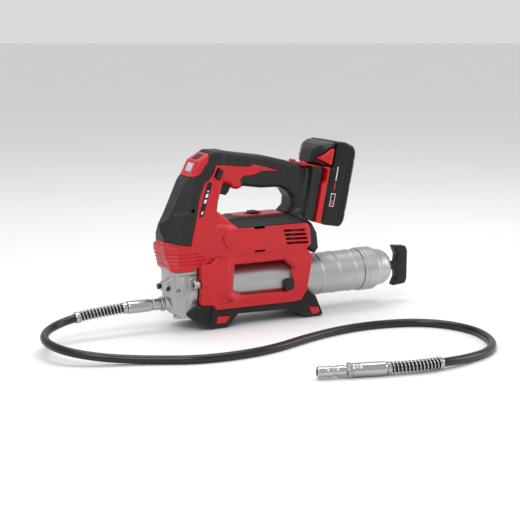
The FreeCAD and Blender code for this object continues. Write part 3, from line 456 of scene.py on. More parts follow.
def stretch_of(path, start, length):
    """Evenly spaced points on part of a path."""
    gaps = np.linalg.norm(np.diff(path, axis=0), axis=1)
    along = np.concatenate([[0], np.cumsum(gaps)])
    wanted = np.linspace(start, start + length, STRETCH_POINTS)
    return np.stack([np.interp(wanted, along, path[:, i]) for i in range(3)], 1)


def lathe(name, profile, body, material, replaced=(), place=None, sides=96):
    """A solid turned about local X from (x, radius) points, with its sharp corners kept crisp."""
    ring = np.arange(sides) * 2 * np.pi / sides
    points = [(x, r * math.cos(a), r * math.sin(a)) for x, r in profile for a in ring]
    rows = len(profile)
    faces = ring_faces(rows, sides)
    if profile[0] == profile[-1]:
        points = points[:(rows - 1) * sides]
        faces = [[p % len(points) for p in face] for face in faces]
    else:
        faces.append(list(range(sides)))
        faces.append([(rows - 1) * sides + j for j in range(sides)][::-1])
    piece = mesh_piece(name, points, faces, body, material, replaced, place)
    piece.data.set_sharp_from_angle(angle=CREASE)
    return piece


def softened(profile, radius=0.4):
    """A profile whose corners are cut twice, so that each one catches the light."""
    result = [profile[0]]
    for before, here, after in zip(profile, profile[1:], profile[2:]):
        here_v = Vector(here)
        for other in (before, after):
            run = Vector(other) - here_v
            reach = min(radius, run.length * 0.4)
            result.append(tuple(here_v + run.normalized() * reach))
    result.append(profile[-1])
    return result


def far_place():
    direction = Vector(ROUTE[-1]) - Vector(ROUTE[-2])
    direction.z = 0
    return Matrix.Translation(Vector(ROUTE[-1]) / MM) @ along_x(direction)


def along_x(direction):
    """The turn that lays local X along a direction."""
    return Vector(direction).to_track_quat("X", "Z").to_matrix().to_4x4()


def make_spring_guard(name, path, start, node):
    """An open coil with a plain sleeve at each end, round one end of the hose."""
    whole = stretch_of(path, start, GUARD_LENGTH)
    coil_path = stretch_of(path, start + GUARD_SLEEVE * 0.6, GUARD_LENGTH - GUARD_SLEEVE * 1.4)
    steps = np.linspace(0, STRETCH_POINTS - 1, COIL_TURNS * 28)
    dense = np.stack([np.interp(steps, np.arange(STRETCH_POINTS), coil_path[:, i]) for i in range(3)], 1)
    _, normals, others = frames_along(dense)
    angles = np.linspace(0, 2 * np.pi * COIL_TURNS, len(dense))
    helix = dense + COIL_R * (np.cos(angles)[:, None] * normals + np.sin(angles)[:, None] * others)
    pieces = [swept(name + "_coil", helix, COIL_WIRE_R, 10, "tool", STEEL, [node])]
    bore = HOSE_R + 0.1
    profile = softened([
        (0, bore), (0, 7.3), (GUARD_SLEEVE * 0.7, 7.3), (GUARD_SLEEVE, 6.9), (GUARD_SLEEVE, bore), (0, bore),
    ], 0.3)
    outer = stretch_of(path, start + GUARD_LENGTH - GUARD_SLEEVE, GUARD_SLEEVE)
    for label, stretch in (("end", outer), ("root", whole)):
        place = Matrix.Translation(stretch[0]) @ along_x(frames_along(stretch)[0][0])
        pieces.append(lathe(f"{name}_{label}", profile, "tool", STEEL, place=place, sides=48))
    return pieces


def make_hex(name, flat_r, start, end, bore, node, place):
    """A hexagonal collar about local X with chamfered corners and a bore."""
    def shape(x, y, z):
        r = np.hypot(y, z)
        over = r - flat_r * 1.13
        chamfer = np.maximum(over + (x - end + 1.2) * 0.6, over - (x - start - 1.2) * 0.6)
        solid = both(both(hexagon(y, z, flat_r, 30), slab(x, start, end), 0.3), chamfer, 0.2)
        return without(solid, r - bore, 0.2)
    reach = flat_r * 1.2
    low, high = (start, -reach, -reach), (end, reach, reach)
    return carved(name, shape, low, high, 0.35, "tool", STEEL, [node], place)


def far_ferrule_profile():
    rings = []
    for start in (31.2 + index * 1.7 for index in range(5)):
        rings += [(start, 8.25), (start + 0.7, 7.75), (start + 1.3, 8.25)]
    return [(0.1, 0.5), (0.1, 7.1), (2.2, 8.25), (30.0, 8.25)] + rings + [(40.9, 7.7), (40.9, 0.5)]


HEAD_FERRULE = [
    (-235.9, 0.5), (-235.9, 7.3), (-234.4, 8.25), (-204.2, 8.25), (-203.2, 7.5), (-201, 7.1), (-199.5, 7.5),
    (-190.1, 7.5), (-190.1, 0.5),
]
COUPLER = [
    (71.5, 0.6), (71.5, 4.0), (81.5, 4.0), (81.5, 5.5), (80.6, 6.35), (75.5, 6.4), (75, 6.1), (70, 6.1),
    (69.5, 6.4), (64, 6.4), (63, 5.8), (58.6, 5.8), (57.6, 6.55), (49, 6.55), (49, 5.2), (46.6, 5.2),
    (46.6, 0.6), (71.5, 0.6),
]


def make_hose():
    """The delivery hose with the guards, ferrules and coupler that ride on it."""
    hose = route_curve("delivery_hose", HOSE_R)
    adopt(hose, "tool", RUBBER, ["hose"])
    path = route_points()
    place = far_place()
    fittings = make_spring_guard("head_guard", path, 0.3, "head_spring_guard")
    fittings += make_spring_guard("far_guard", path[::-1], 0.3, "far_spring_guard")

    def fit(name, profile, round_r, node, at):
        fittings.append(lathe(name, softened(profile, round_r), "tool", STEEL, [node], at))
    fit("head_ferrule_tube", HEAD_FERRULE, 0.5, "head_ferrule", HEAD_FITTING_PLACE)
    fit("far_ferrule_tube", far_ferrule_profile(), 0.35, "far_ferrule", place)
    fittings.append(make_hex("far_hex_nut", 8.15, 41.0, 46.5, 2.5, "coupler_nut", place))
    fit("grease_coupler", COUPLER, 0.35, "coupler", place)


make_hose()


# ---- outlines of the tool
# Side outlines of the zones as (x, z) points. Most lie close to the CAD's, and some differ on purpose.
COLUMN = [
    (-122, 231), (-142, 219.5), (-149.5, 204), (-158, 193.5), (-170.5, 167.5), (-181.5, 146),
    (-189, 126.5), (-189, 115), (-186, 92.5), (-182, 84), (-165.6, 80.3), (-118, 80), (-97, 138),
    (-106, 146), (-117.6, 154.7), (-115.1, 167), (-111.3, 179), (-106, 195), (-104, 230.7),
]
HANDLE = [
    (-122, 231), (-104, 230.7), (-86.4, 227.6), (-41, 221), (-12.4, 214), (11, 206.5), (24, 205.5),
    (12, 137), (-24, 137), (-24, 142), (-10, 144.8), (-3.5, 151.5), (-3, 163), (-10, 172.8),
    (-22, 178.5), (-48.6, 179), (-69, 182), (-75.2, 183), (-81.5, 179.5), (-86.5, 179.6), (-90.2, 181),
    (-94, 185.5), (-99, 188), (-104.5, 187.5), (-109, 183.5), (-112, 178.5), (-122, 179),
]
NECK = [
    (-5, 190), (-2.5, 206), (18.4, 205.3), (24, 185.5), (28, 164.3), (20, 134), (-10, 141), (-9, 145),
    (-2.5, 152), (-2, 164), (-7, 172),
]
BODY = [
    (-150, 83), (-132, 122), (-112, 142.5), (3, 142.5), (10, 131), (14, 124), (16, 103), (9.9, 97),
    (20, 83),
]
FRAME = [
    (18.6, 88), (9.7, 40.6), (0.5, 26.1), (-10, 24.9), (-123.6, 25.8), (-128.5, 33.2), (-146.2, 35.1),
    (-145.9, 60.6), (-146.4, 88),
]
WINDOW = [(-97.2, 83.8), (-24.8, 83.9), (-10.4, 72), (-12.8, 50), (-20.6, 41), (-86.1, 42.5), (-99.9, 49.7)]
PILLAR = [
    (-139.5, 81), (-124.1, 95.5), (-102.8, 93.5), (-101.8, 50), (-90, 41), (-90, 28), (-126, 28),
    (-139.5, 50),
]
PANEL = [(-108, 130.5), (-114, 121), (-112, 112), (-97, 97), (9, 97), (14.5, 104), (12, 124), (8, 130.5)]
WINDOW_RIM = [(-93, 90), (-24, 90), (-3, 73), (-6, 44), (-17, 35), (-89, 37), (-104, 47), (-98, 60)]
TRIANGLE = [(-117.3, 47.2), (-101.9, 35.6), (-122.2, 34)]
BUMPER = [
    (4, 137), (12, 135.5), (20, 129), (27.5, 116), (30.3, 95), (24.7, 87.8), (20, 91), (9.9, 97),
    (10, 131),
]
SKID = [
    (-166, 23.5), (-153, 13.5), (-129, 0), (-107.6, 0), (-93, 17.8), (-15.5, 15.6), (13.9, 0), (34, 0),
    (36.8, 2.5), (24.3, 30.3), (12.2, 39.9), (9.7, 40.6), (-4, 44), (-20, 30), (-123.6, 30),
    (-128.5, 35), (-146.6, 35),
]
COVER = [
    (-120, 205.5), (-126.5, 196), (-134, 192.5), (-143, 171), (-147, 152), (-156, 112), (-200, 121),
    (-200, 197), (-152, 199), (-141, 202),
]
BEZEL = [(-124, 236), (-127.5, 219), (-141, 202), (-152, 199), (-162, 215), (-140, 240)]
GRIP = [
    (-170, 245), (-170, 198), (-152, 199), (-141, 202), (-120, 205.5), (-117, 214.2), (-68.6, 208.8),
    (-61.6, 211.8), (-20.2, 200.4), (-49.7, 201.9), (-62.3, 197), (-76.2, 197.3), (-81.2, 192.4),
    (-75.2, 170), (-20, 170), (-17, 150), (-14, 145.5), (9, 131.5), (14, 126), (60, 120), (60, 245),
]
BAND = [(-109.5, 150), (-91, 131.5), (9, 131.5), (-14, 145.5), (-14, 150)]
COLLAR = [
    (-200, 118), (-170, 107.5), (-148.4, 109.5), (-132.1, 98), (-127.5, 90.7), (-141.7, 84.4), (-158, 79.5),
    (-200, 79.5),
]
RIB_FIELD = [(-200, 106), (-150, 105.5), (-137, 97), (-133, 92), (-144, 87), (-158, 83.5), (-200, 85)]
HEAD_SIDE = [
    (-181.5, 87), (-183, 68), (-182, 45), (-176, 24), (-169, 17), (-153, 17), (-146.4, 25),
    (-146.4, 87),
]
HEAD_PLAN = [(-190, 0), (-182.5, 12), (-176, 20), (-165, 23.5), (-146.4, 24.5), (-146.4, -5), (-190, -5)]
EYE_LUG = [(-170, 77), (-190, 66), (-190, 50), (-185.5, 46.3), (-170, 42)]
TRIGGER = [(-109, 190), (-109, 180), (-107.5, 174.5), (-97.7, 171.8), (-93.5, 176), (-91, 182), (-91, 190)]
FRONT_PAD = [(-123.4, 17.7), (-104.2, 16.6), (-111.5, 7.4), (-124.7, 7.9)]
REAR_PAD = [(13.7, 15.9), (27.2, 14.4), (31.3, 7.9), (23.2, 4), (17.8, 5.8)]
FOOT_RECESS = [(-143.3, 31), (-130.1, 30.2), (-134.3, 10), (-144.7, 16.5)]
COVER_STEP = [(-152, 158), (-176, 152), (-198, 132), (-176, 113), (-157, 113)]
COVER_SLOT = [(-149, 161), (-155.5, 158.5), (-157, 153), (-151, 154)]
COVER_RIM = [(-170, 112), (-166, 140), (-158, 153), (-153, 153), (-160, 112)]

AXIS_Z = 52.8                       # height of the barrel's axis
FINE = 0.8                          # spacing of the samples
FINER = 0.7
STEP = FINE
SEAM = 0.12                         # half the gap between neighbouring covers
WALL = 3.0
LOCK_PLACE = (-114, 202)            # (x, z) of the lock button and its lean
LOCK_LEAN = math.radians(25)
SWITCH_PLACE = ((-134.5, 223.8), math.radians(-31))
LENS_PLACE = ((-146.2, 211.0), math.radians(-64))
LUG_Y = 33.4                        # the two screwed lugs of the pump head
LUG_Z = 62.5
EYE = (-185.2, 58)
PORT = (6, 57)                      # the bleed valve's axis in Y and Z
SKID_SPLAY = 0.83                   # how the skid's sides lean outwards with height


# ---- housing fields
def head_field(x, y, z):
    """The pump head's casting: a faceted block, a round flange for the barrel, an outlet cone and lugs."""
    across = np.abs(y)
    block_part = both(polygon(HEAD_PLAN, x, across), polygon(HEAD_SIDE, x, z), 1.6)
    flange = both(tube_field(y, z - AXIS_Z, 29.0), slab(x, -158, -146.4), 3.0)
    step = both(tube_field(y, z - AXIS_Z, 26.0), slab(x, -166, -150), 1.5)
    flange = either(flange, step, 1.0)
    solid = either(block_part, flange, 1.5)
    cone = both(tube_field(y, z - 34.8, 10.2 + (x + 178) * 0.35), slab(x, -184.8, -174), 1.0)
    solid = either(solid, cone, 2.0)
    ear = tube_field(across - 30.6, z - LUG_Z, 7.3 - np.maximum(0, x + 154) * 0.38)
    ear = both(ear, slab(x, -157, -139.5), 0.6)
    web = both(slab(across, 20, 33), bar(z, x, 58.3, 66.7, -155.5, -147.5, 1.0), 1.0)
    return either(solid, either(ear, web, 1.5), 2.0)


def column_half(z):
    """The column's half width at a height."""
    return np.interp(z, (84, 150, 232), (26, 26, 18))


def nose_facet(x, across, z, reach):
    """The sloping plane that cuts the column's front edges."""
    return -0.469 * x + 0.866 * across + 0.175 * z - reach


def below_bezel(outline, x, z):
    return without(polygon(outline, x, z), polygon(BEZEL, x, z))


def zones(x, y, z):
    """The housing's column, handle, body and frame, each with its own round edges."""
    across = np.abs(y)
    column = both(polygon(COLUMN, x, z), across - column_half(z), 4.5)
    column = both(column, nose_facet(x, across, z, 121.8), 1.5)
    handle = both(polygon(HANDLE, x, z), across - 17.5, 8.0)
    edge = np.interp(x, (-128, -96), (6.0, 2.0))
    shoulder = (across - 36) * 0.64 + (z - 130) * 0.768
    side = across - 35.2 + 0.34 * np.maximum(0, -102 - x)
    body = both(both(polygon(BODY, x, z), side, edge), shoulder, 1.5)
    body = np.maximum(body, 0.8 * stripe(z, 95.4, 1.6) * (x > -100) + body)
    lower = (across - 33) * 0.857 - (z - 24) * 0.514
    rail = both(both(polygon(FRAME, x, z), across - 36, 1.5), lower, 1.2)
    return column, handle, body, rail


def cavity_field(x, y, z):
    column, handle, body, _ = zones(x, y, z)
    return np.minimum(np.minimum(column, handle), body) + WALL


def outer_field(x, y, z):
    """The whole housing without its openings."""
    across = np.abs(y)
    column, handle, body, rail = zones(x, y, z)
    solid = either(column, handle, 3.0)
    rise = np.clip(-polygon(PANEL, x, z) * 0.5, 0, 0.9)
    panel = both(polygon(PANEL, x, z), slab(across, 30, 35.0 + rise))
    solid = either(solid, body, 2.0)
    solid = either(either(solid, panel, 0.2), rail, 1.0)
    depth = -polygon(PILLAR, x, z)
    rise = np.clip(depth * 0.40, 0, 2.8) * (x < -94)
    pillar = both(both(-depth, across - 35.0 - rise), slab(across, 28, 50))
    solid = either(solid, pillar, 0.5)
    fin = both(slab(x, -146, -126), np.abs(z - 63) - 3.4 + 0.22 * np.maximum(0, x + 136), 0.6)
    solid = either(solid, both(both(fin, across - 37.9 + 0.1 * np.abs(z - 63)), 28 - across), 0.6)
    near_window = np.clip(-polygon(WINDOW_RIM, x, z) / 4, 0, 1) * np.clip((across - 33) / 2, 0, 1)
    solid = solid + 1.1 * near_window
    recess = both(polygon(TRIANGLE, x, z), 35.4 - across + 0.2 * polygon(TRIANGLE, x, z), 0.4)
    return without(solid, recess, 0.6)


def collar_field(x, y, z):
    """The ribbed collar above the pump head, a little proud of the column."""
    across = np.abs(y)
    plan = -0.52 * x + 0.854 * across - 115.6
    solid = both(polygon(COLLAR, x, z), across - 28.6, 2.0)
    solid = both(solid, plan, 1.5)
    solid = both(solid, -x - 190.3 + 0.32 * np.maximum(0, 104 - z), 2.0)
    inside_ribs = np.clip(-polygon(RIB_FIELD, x, z) / 1.5, 0, 1)
    ribs = sum(stripe(z, level, 1.9) for level in (88.0, 92.6, 97.2, 101.8))
    return solid + 1.5 * ribs * inside_ribs


def openings_field(x, y, z):
    """Everything that is cut from the housing: below 0 where it is open."""
    across = np.abs(y)
    bore = tube_field(y, z - AXIS_Z, 29.2)
    window = polygon(WINDOW, x, z) - np.clip(across - 32.5, 0, 3.5) * 0.9
    window = both(window, 8 - across)
    cuts = either(bore, window)
    cuts = either(cuts, head_field(x, y, z) - 0.5)
    cuts = either(cuts, both(slab(x, -180, -146), both(across - 25.4, slab(z, 60, 86))))
    slots = both(slab(x, -110, -90), both(across - 9.0, slab(z, 168, 201)), 1.0)
    cuts = either(cuts, slots)
    u, v = turned(x, z, LOCK_PLACE, LOCK_LEAN)
    return either(cuts, both(np.abs(u) - 3.9, np.abs(v) - 6.4, 1.5))


def vent_field(x, y, z):
    """Four sloped vents and two short slots in each side."""
    across = np.abs(y)
    cuts = np.full(np.broadcast(x, z).shape, 9.0)
    for row in range(4):
        level = 122.9 - 5.6 * row - 0.04 * (x + 10)
        start = -27.0 + 1.6 * row
        vent = both(np.abs(z - level) - 1.5, slab(x, start, start + 33), 1.2)
        cuts = np.minimum(cuts, vent)
    for start, level in ((-69.6, 130.0), (-69.6, 99.5)):
        slot = both(np.abs(z - level) - 1.2, slab(x, start, start + 16), 1.0)
        cuts = np.minimum(cuts, slot)
    return both(cuts, 29 - across)


def shell_field(x, y, z):
    """The housing's wall, 3 mm thick, with its openings."""
    solid = without(outer_field(x, y, z), cavity_field(x, y, z))
    return without(solid, openings_field(x, y, z), 0.5)


def in_lights(x, y, z):
    """The two sockets in the bezel: the light's switch and its lens."""
    fields = []
    for centre, lean, half_u, half_y in ((*SWITCH_PLACE, 5.4, 6.9), (*LENS_PLACE, 6.4, 8.6)):
        u, v = turned(x, z, centre, lean)
        fields.append(both(both(np.abs(u) - half_u, np.abs(y) - half_y, 1.2), np.abs(v) - 7))
    return np.minimum(fields[0], fields[1])


SCREWS = [
    (-135, 36, 92), (-105, 36, 94), (-4, 36, 92), (4, 36, 76), (-104, 36, 35), (-125, 21.9, 192),
    (-30, 17.5, 196), (-70, 17.5, 188),
]


def screw_wells(x, y, z):
    wells = np.full(np.broadcast(x, y, z).shape, 9.0, np.float32)
    for sx, surface, sz in SCREWS:
        wells = np.minimum(wells, both(tube_field(x - sx, z - sz, 3.3), surface - 1.6 - y))
    return wells


def make_red_housing(side):
    """One half of the red housing, up to the seams with the black covers."""
    def shape(x, y, z):
        solid = either(shell_field(x, y, z), both(collar_field(x, y, z), slab(z, 79, 120)), 1.0)
        solid = without(solid, cavity_field(x, y, z))
        solid = without(solid, openings_field(x, y, z), 0.3)
        solid = without(solid, vent_field(x, y, z), 0.5)
        solid = without(solid, in_lights(x, y, z), 0.4)
        for region in (below_bezel(COVER, x, z), below_bezel(GRIP, x, z), polygon(BAND, x, z)):
            solid = without(solid, region - SEAM, 0.3)
        if side > 0:
            solid = without(solid, screw_wells(x, y, z), 0.3)
        return both(solid, SEAM - side * y, 0.4)
    near, far = span(side, 0, 39)
    label = "left" if side < 0 else "right"
    carved(f"red_housing_{label}", shape, (-192, near, 22), (22, far, 236), STEP, "tool", RED,
           [f"housing_{label}"])


def make_front_cover():
    """The black cover on the column, with a stepped lower block, a slot and a sunken rim."""
    def shape(x, y, z):
        across = np.abs(y)
        solid = shell_field(x, y, z)
        lower = both(polygon(COVER_STEP, x, z), across - 27.5, 1.5)
        facet = nose_facet(x, across, z, 123.6)
        lower = both(both(lower, facet, 1.0), -x - 190.2, 1.5)
        solid = either(solid, without(lower, zones(x, y, z)[0] + WALL), 0.8)
        bevel = (polygon(COLUMN, x, z) + facet) * 0.7 + 1.6
        solid = both(solid, bevel, 0.5)
        slot = both(polygon(COVER_SLOT, x, z), 19 - across, 0.5)
        solid = solid + 1.6 * np.clip(-slot / 0.6, 0, 1)
        solid = solid + 0.8 * np.clip(-polygon(COVER_RIM, x, z) / 1.2, 0, 1)
        return both(solid, below_bezel(COVER, x, z) + SEAM, 0.3)
    carved("cover_front", shape, (-192, -30, 108), (-108, 30, 234), STEP, "tool", OVERMOULD,
           ["front_cover"], mirrored=True)


def mount_field(x, y, z):
    """The battery mount behind the neck, square to the leaning pack."""
    u, w = leaned(x, z)
    across = np.abs(y)
    box = both(bar(u, w, -42, -26.6, -51.5, 19.4, 2.0), across - 33.4, 3.0)
    notch = both(bar(u, w, -37, -20, -8, 10, 1.5), 31.0 - across + 0.1 * (u + 37), 1.0)
    return without(box, notch, 0.8)


def make_grip():
    """The soft overmould: the top of the handle, the neck and the battery mount in one."""
    def shape(x, y, z):
        across = np.abs(y)
        solid = shell_field(x, y, z)
        neck = both(polygon(NECK, x, z), across - np.interp(z, (140, 165, 206), (27, 24.5, 20)), 13.0)
        neck = either(neck, mount_field(x, y, z), 7.0)
        solid = either(solid, neck, 5.0)
        rib_zone = np.clip(-polygon(rectangle(-76, 193, -28, 179), x, z) / 2.0, 0, 1)
        bottom = np.clip((12 - across) / 3, 0, 1) * np.clip((185 - z) / 3, 0, 1)
        ribs = sum(stripe(x, -70 + 6.0 * k, 1.6) for k in range(8))
        solid = solid + 0.7 * ribs * rib_zone * bottom
        solid = without(solid, openings_field(x, y, z), 0.5)
        solid = both(solid, leaned(x, z)[0] + 26.6, 0.6)
        solid = both(solid, below_bezel(GRIP, x, z) + SEAM, 0.3)
        return without(solid, polygon(BAND, x, z) - SEAM, 0.5)
    carved("soft_grip", shape, (-152, -35, 120), (44, 35, 234), STEP, "tool", OVERMOULD,
           ["handle_grip", "battery_foot"], mirrored=True)


def make_top_band():
    """The black band along the body's top edge and its raised red strip."""
    def band(x, y, z):
        across = np.abs(y)
        slot = both(slab(x, -66, -42), across - 3.9, 0.5)
        bed = both(both(slab(x, -88, 8), across - 20.5, 2), slab(z, 139.5, 143.3), 1.2)
        solid = without(either(without(shell_field(x, y, z), slot), bed, 0.5), slot)
        solid = without(solid, polygon(GRIP, x, z) - SEAM, 0.4)
        return both(solid, polygon(BAND, x, z) + SEAM, 0.6)
    carved("body_top_band", band, (-110, -37, 130), (16, 37, 145), STEP, "tool", OVERMOULD, ["top_band"],
           mirrored=True)

    def strip(x, y, z):
        across = np.abs(y)
        plan = both(slab(x, -86, -16), across - 15.5 + 0.5 * np.maximum(0, -72 - x), 1.0)
        solid = both(plan, slab(z, 142.6, 144.6), 0.7)
        return without(solid, both(slab(x, -67, -41), across - 4.6, 0.8), 0.4)
    carved("top_red_strip", strip, (-88, -17, 141), (-14, 17, 146), FINE, "tool", RED, mirrored=True)


def make_bumper():
    """The rear bumper, with a wide shallow groove across its back."""
    def shape(x, y, z):
        across = np.abs(y)
        solid = both(polygon(BUMPER, x, z), across - 31.5, 5.0)
        groove = both(slab(z, 99, 122), 27 - x, 1.0)
        solid = without(solid, both(groove, across - 24, 1.5), 1.5)
        solid = without(solid, outer_field(x, y, z) - SEAM, 0.3)
        return without(solid, tube_field(y, z - AXIS_Z, 29.4))
    carved("back_bumper", shape, (0, -33, 85), (32, 33, 140), STEP, "tool", OVERMOULD,
           ["rear_bumper"], mirrored=True)


def skid_shape(x, y, z):
    across = np.abs(y)
    solid = both(polygon(SKID, x, z), across - 34, 2.0)
    solid = both(solid, across - 29 - z * SKID_SPLAY, 1.5)
    solid = both(solid, -0.62 * x + 0.785 * across - 120.5, 2.0)
    solid = without(solid, both(polygon(FOOT_RECESS, x, z), 31.2 - across, 0.8), 0.8)
    solid = without(solid, both(both(slab(x, -100, 5), across - 22, 4), z - 19.5, 2), 1.5)
    solid = without(solid, head_field(x, y, z) - 0.4, 0.3)
    solid = without(solid, tube_field(y, z - AXIS_Z, 29.3))
    return without(solid, outer_field(x, y, z) - SEAM, 0.3)


def make_skid():
    """The black skid and the four red pads let into its feet."""
    def shape(x, y, z):
        across = np.abs(y)
        solid = skid_shape(x, y, z)
        for outline in (FRONT_PAD, REAR_PAD):
            solid = without(solid, both(polygon(outline, x, z) - 0.4, 31 - across, 0.4), 0.3)
        return solid
    carved("skid", shape, (-167, -35, 0.6), (38, 35, 45), STEP, "tool", NYLON, ["base_skid"], mirrored=True)

    def pads(x, y, z):
        across = np.abs(y)
        outline = np.minimum(polygon(FRONT_PAD, x, z), polygon(REAR_PAD, x, z))
        face = both(across - 34.3, across - 29.4 - z * SKID_SPLAY, 0.5)
        return both(both(outline, face, 0.9), 31.5 - across, 0.4)
    carved("foot_pads", pads, (-127, -36, 2), (33, 36, 20), FINER, "tool", RED, ["skid_pads"], mirrored=True)


def make_saddle():
    """Two soft pads that steady the barrel behind the window."""
    def shape(x, y, z):
        across = np.abs(y)
        solid = both(bar(x, z, -23.5, -9.3, 41, 57.5, 5.0), slab(across, 14, 35.2), 1.0)
        return without(solid, tube_field(y, z - AXIS_Z, 28.95), 0.4)
    carved("barrel_pads", shape, (-25, -36, 40), (-8, 36, 59), FINE, "tool", OVERMOULD,
           ["barrel_saddle"], mirrored=True)


for half in (-1, 1):
    make_red_housing(half)
make_front_cover()
make_grip()
make_top_band()
make_bumper()
make_skid()
make_saddle()


# ---- pump head
def make_pump_head():
    def shape(x, y, z):
        port_y, port_z = y - PORT[0], z - PORT[1]
        eye_x, eye_z = x - EYE[0], z - EYE[1]
        eye = both(polygon(EYE_LUG, x, z), np.abs(y + 12.5) - 4.5, 1.0)
        rim = both(tube_field(eye_x, eye_z, 4.9), np.abs(y + 13) - 5.6, 0.5)
        solid = either(head_field(x, y, z), either(eye, rim, 0.4), 2.0)
        boss = both(tube_field(port_y, port_z, 6.5), slab(x, -186, -176), 0.8)
        ledge = both(bar(x, z, -178, -147, 74, 79.6, 1.0), np.abs(y) - 25.6, 1.5)
        solid = either(either(solid, boss, 1.5), ledge, 1.5)
        solid = without(solid, tube_field(eye_x, eye_z, 3.3) + np.maximum(0, y + 9) * 3, 0.4)
        solid = without(solid, both(tube_field(port_y, port_z, 3.6), -178 - x, 0.2), 0.3)
        for lug in (-LUG_Y, LUG_Y):
            solid = without(solid, both(tube_field(y - lug, z - LUG_Z, 3.4), x + 154.4, 0.2), 0.4)
        outlet = both(tube_field(y, z - 34.8, 3.8), x + 173, 0.2)
        dimple = both(tube_field(x + 172.7, z - 54.7, 2.6), np.abs(y + 24) - 6.5, 0.3)
        solid = without(without(solid, outlet, 0.4), dimple, 0.8)
        return without(solid, both(tube_field(y, z - AXIS_Z, 29.1), -146.4 - x), 0.3)
    carved("pump_casting", shape, (-192, -40, 15), (-138, 40, 83), FINER, "tool", CAST, ["pump_head"])


def make_cap_screw(name, place, direction, radius, height, replaced=()):
    """A cap screw with a hexagonal socket, its head along local X."""
    def shape(x, y, z):
        socket = hexagon(y, z, radius * 0.48, 0)
        solid = both(np.hypot(y, z) - radius, slab(x, 0, height), 0.4)
        return without(solid, both(socket, height * 0.45 - x), 0.15)
    low, high = (0, -radius, -radius), (height, radius, radius)
    carved(name, shape, low, high, 0.2, "tool", OXIDE, replaced,
           Matrix.Translation(place) @ along_x(direction))


def facing_down(x, z):
    """A place whose local X points along Z."""
    return Matrix.Translation((x, 0, z)) @ Matrix.Rotation(-math.pi / 2, 4, "Y")


RELIEF_CAP = [(12.1, 0.05), (12.1, 2.3), (12.7, 2.8), (15.6, 2.8), (16.2, 2.2), (16.2, 0.05)]
BLEED_BUTTON = [
    (-190.5, 0.05), (-190.5, 3.2), (-189.7, 4.0), (-188.1, 4.0), (-188.1, 3.0), (-177.1, 3.0),
    (-175.1, 0.05),
]

make_pump_head()
for label, lug in (("left", -LUG_Y), ("right", LUG_Y)):
    make_cap_screw(f"lug_screw_{label}", (-154.6, lug, LUG_Z), (-1, 0, 0), 3.0, 2.5,
                   ["head_bolts"] if lug < 0 else ())
for index, (sx, surface, sz) in enumerate(SCREWS):
    make_cap_screw(f"housing_screw_{index + 1}", (sx, surface - 3.4, sz), (0, 1, 0), 2.75, 2.2,
                   () if index else ["housing_screws"])
make_hex("outlet_hex", 8.66, -190, -184.6, 3.1, "outlet_collar", HEAD_FITTING_PLACE)
make_hex("plug_hex", 5.6, 0, 4.0, 0.4, "bottom_plug", facing_down(-165, 13))
lathe("relief_cap", softened(RELIEF_CAP, 0.2), "tool", RUBBER, place=facing_down(-155.5, 0), sides=32)
lathe("bleed_button", softened(BLEED_BUTTON, 0.25), "bleed_valve", RUBBER, ["bleed_valve"],
      Matrix.Translation((0, *PORT)), sides=48)


# ---- barrel
BARREL_R = 28.55


def barrel_profile():
    """The sleeve with three raised hoops, as a closed outline."""
    profile = [(-145.5, 27.35), (-145.5, BARREL_R)]
    for start in (38, 64, 90):
        profile += [(start, BARREL_R), (start + 0.9, 29.25), (start + 2.1, 29.25), (start + 3.0, BARREL_R)]
    return profile + [(130.9, BARREL_R), (130.9, 27.35), (-145.5, 27.35)]


def cap_profile():
    """The grooved and domed end cap, as a closed outline."""
    dome = [(142 + 16.5 * math.sin(a), 6.8 + 18.4 * math.cos(a)) for a in np.radians(np.arange(6, 90, 7))]
    return [
        (106.1, 28.65), (106.1, 29.9), (106.7, 30.25), (111.9, 30.25), (112.7, 29.5), (113.5, 30.25),
        (127.6, 30.25), (129.0, 29.6), (133.2, 28.0), (136.6, 26.4), (138.5, 25.6), (141.5, 25.4), *dome,
        (160.9, 6.4), (160.9, 4.5), (157, 4.5), (150, 15.2), (141, 23.4), (131.6, 25.2), (131.6, 28.65),
        (106.1, 28.65),
    ]


def make_barrel():
    place = Matrix.Translation((0, 0, AXIS_Z))
    for name, profile, node in (
        ("barrel_sleeve", softened(barrel_profile(), 0.35), "barrel_tube"),
        ("end_cap", softened(cap_profile(), 0.3), "barrel_end_cap"),
    ):
        lathe(name, profile, "barrel", TUBE, [node], place, sides=128)


def make_t_handle():
    """The pull handle: a waisted crossbar with a flat back and a stem."""
    def shape(x, y, z):
        w = np.abs(z - AXIS_Z)
        front = np.interp(w, (0, 7, 16, 26, 28.5), (170.5, 171.5, 172.5, 167.5, 166.8))
        back = np.interp(w, (0, 20, 28.5), (190.3, 190.3, 187))
        bar = both(both(front - x, x - back, 2.0), w - 28.2 + 0.1 * (x - 178), 2.0)
        bar = both(bar, np.abs(y) - 7.4 + 0.06 * np.maximum(0, 182 - x), 3.0)
        stem = both(tube_field(y, z - AXIS_Z, 6.2), slab(x, 162.6, 178), 1.0)
        solid = either(bar, stem, 3.0)
        return without(solid, both(tube_field(y, z - AXIS_Z, 4.1), x - 171.5), 0.3)
    carved("pull_handle", shape, (162, -8, 24), (191, 8, 82), FINER, "follower", NYLON, ["t_handle"])


make_barrel()
make_t_handle()


# ---- controls
def leaning_place(centre, lean, y=0):
    return Matrix.Translation((centre[0], y, centre[1])) @ Matrix.Rotation(lean, 4, "Y")


def make_trigger():
    def shape(x, y, z):
        solid = both(polygon(TRIGGER, x, z), np.abs(y) - 8.4, 2.2)
        return without(solid, tube_field(x + 112.5, z - 171.5, 5.0), 1.0)
    carved("trigger_lever", shape, (-110, -9, 171), (-90, 9, 190.5), 0.6, "trigger", NYLON, ["trigger"])


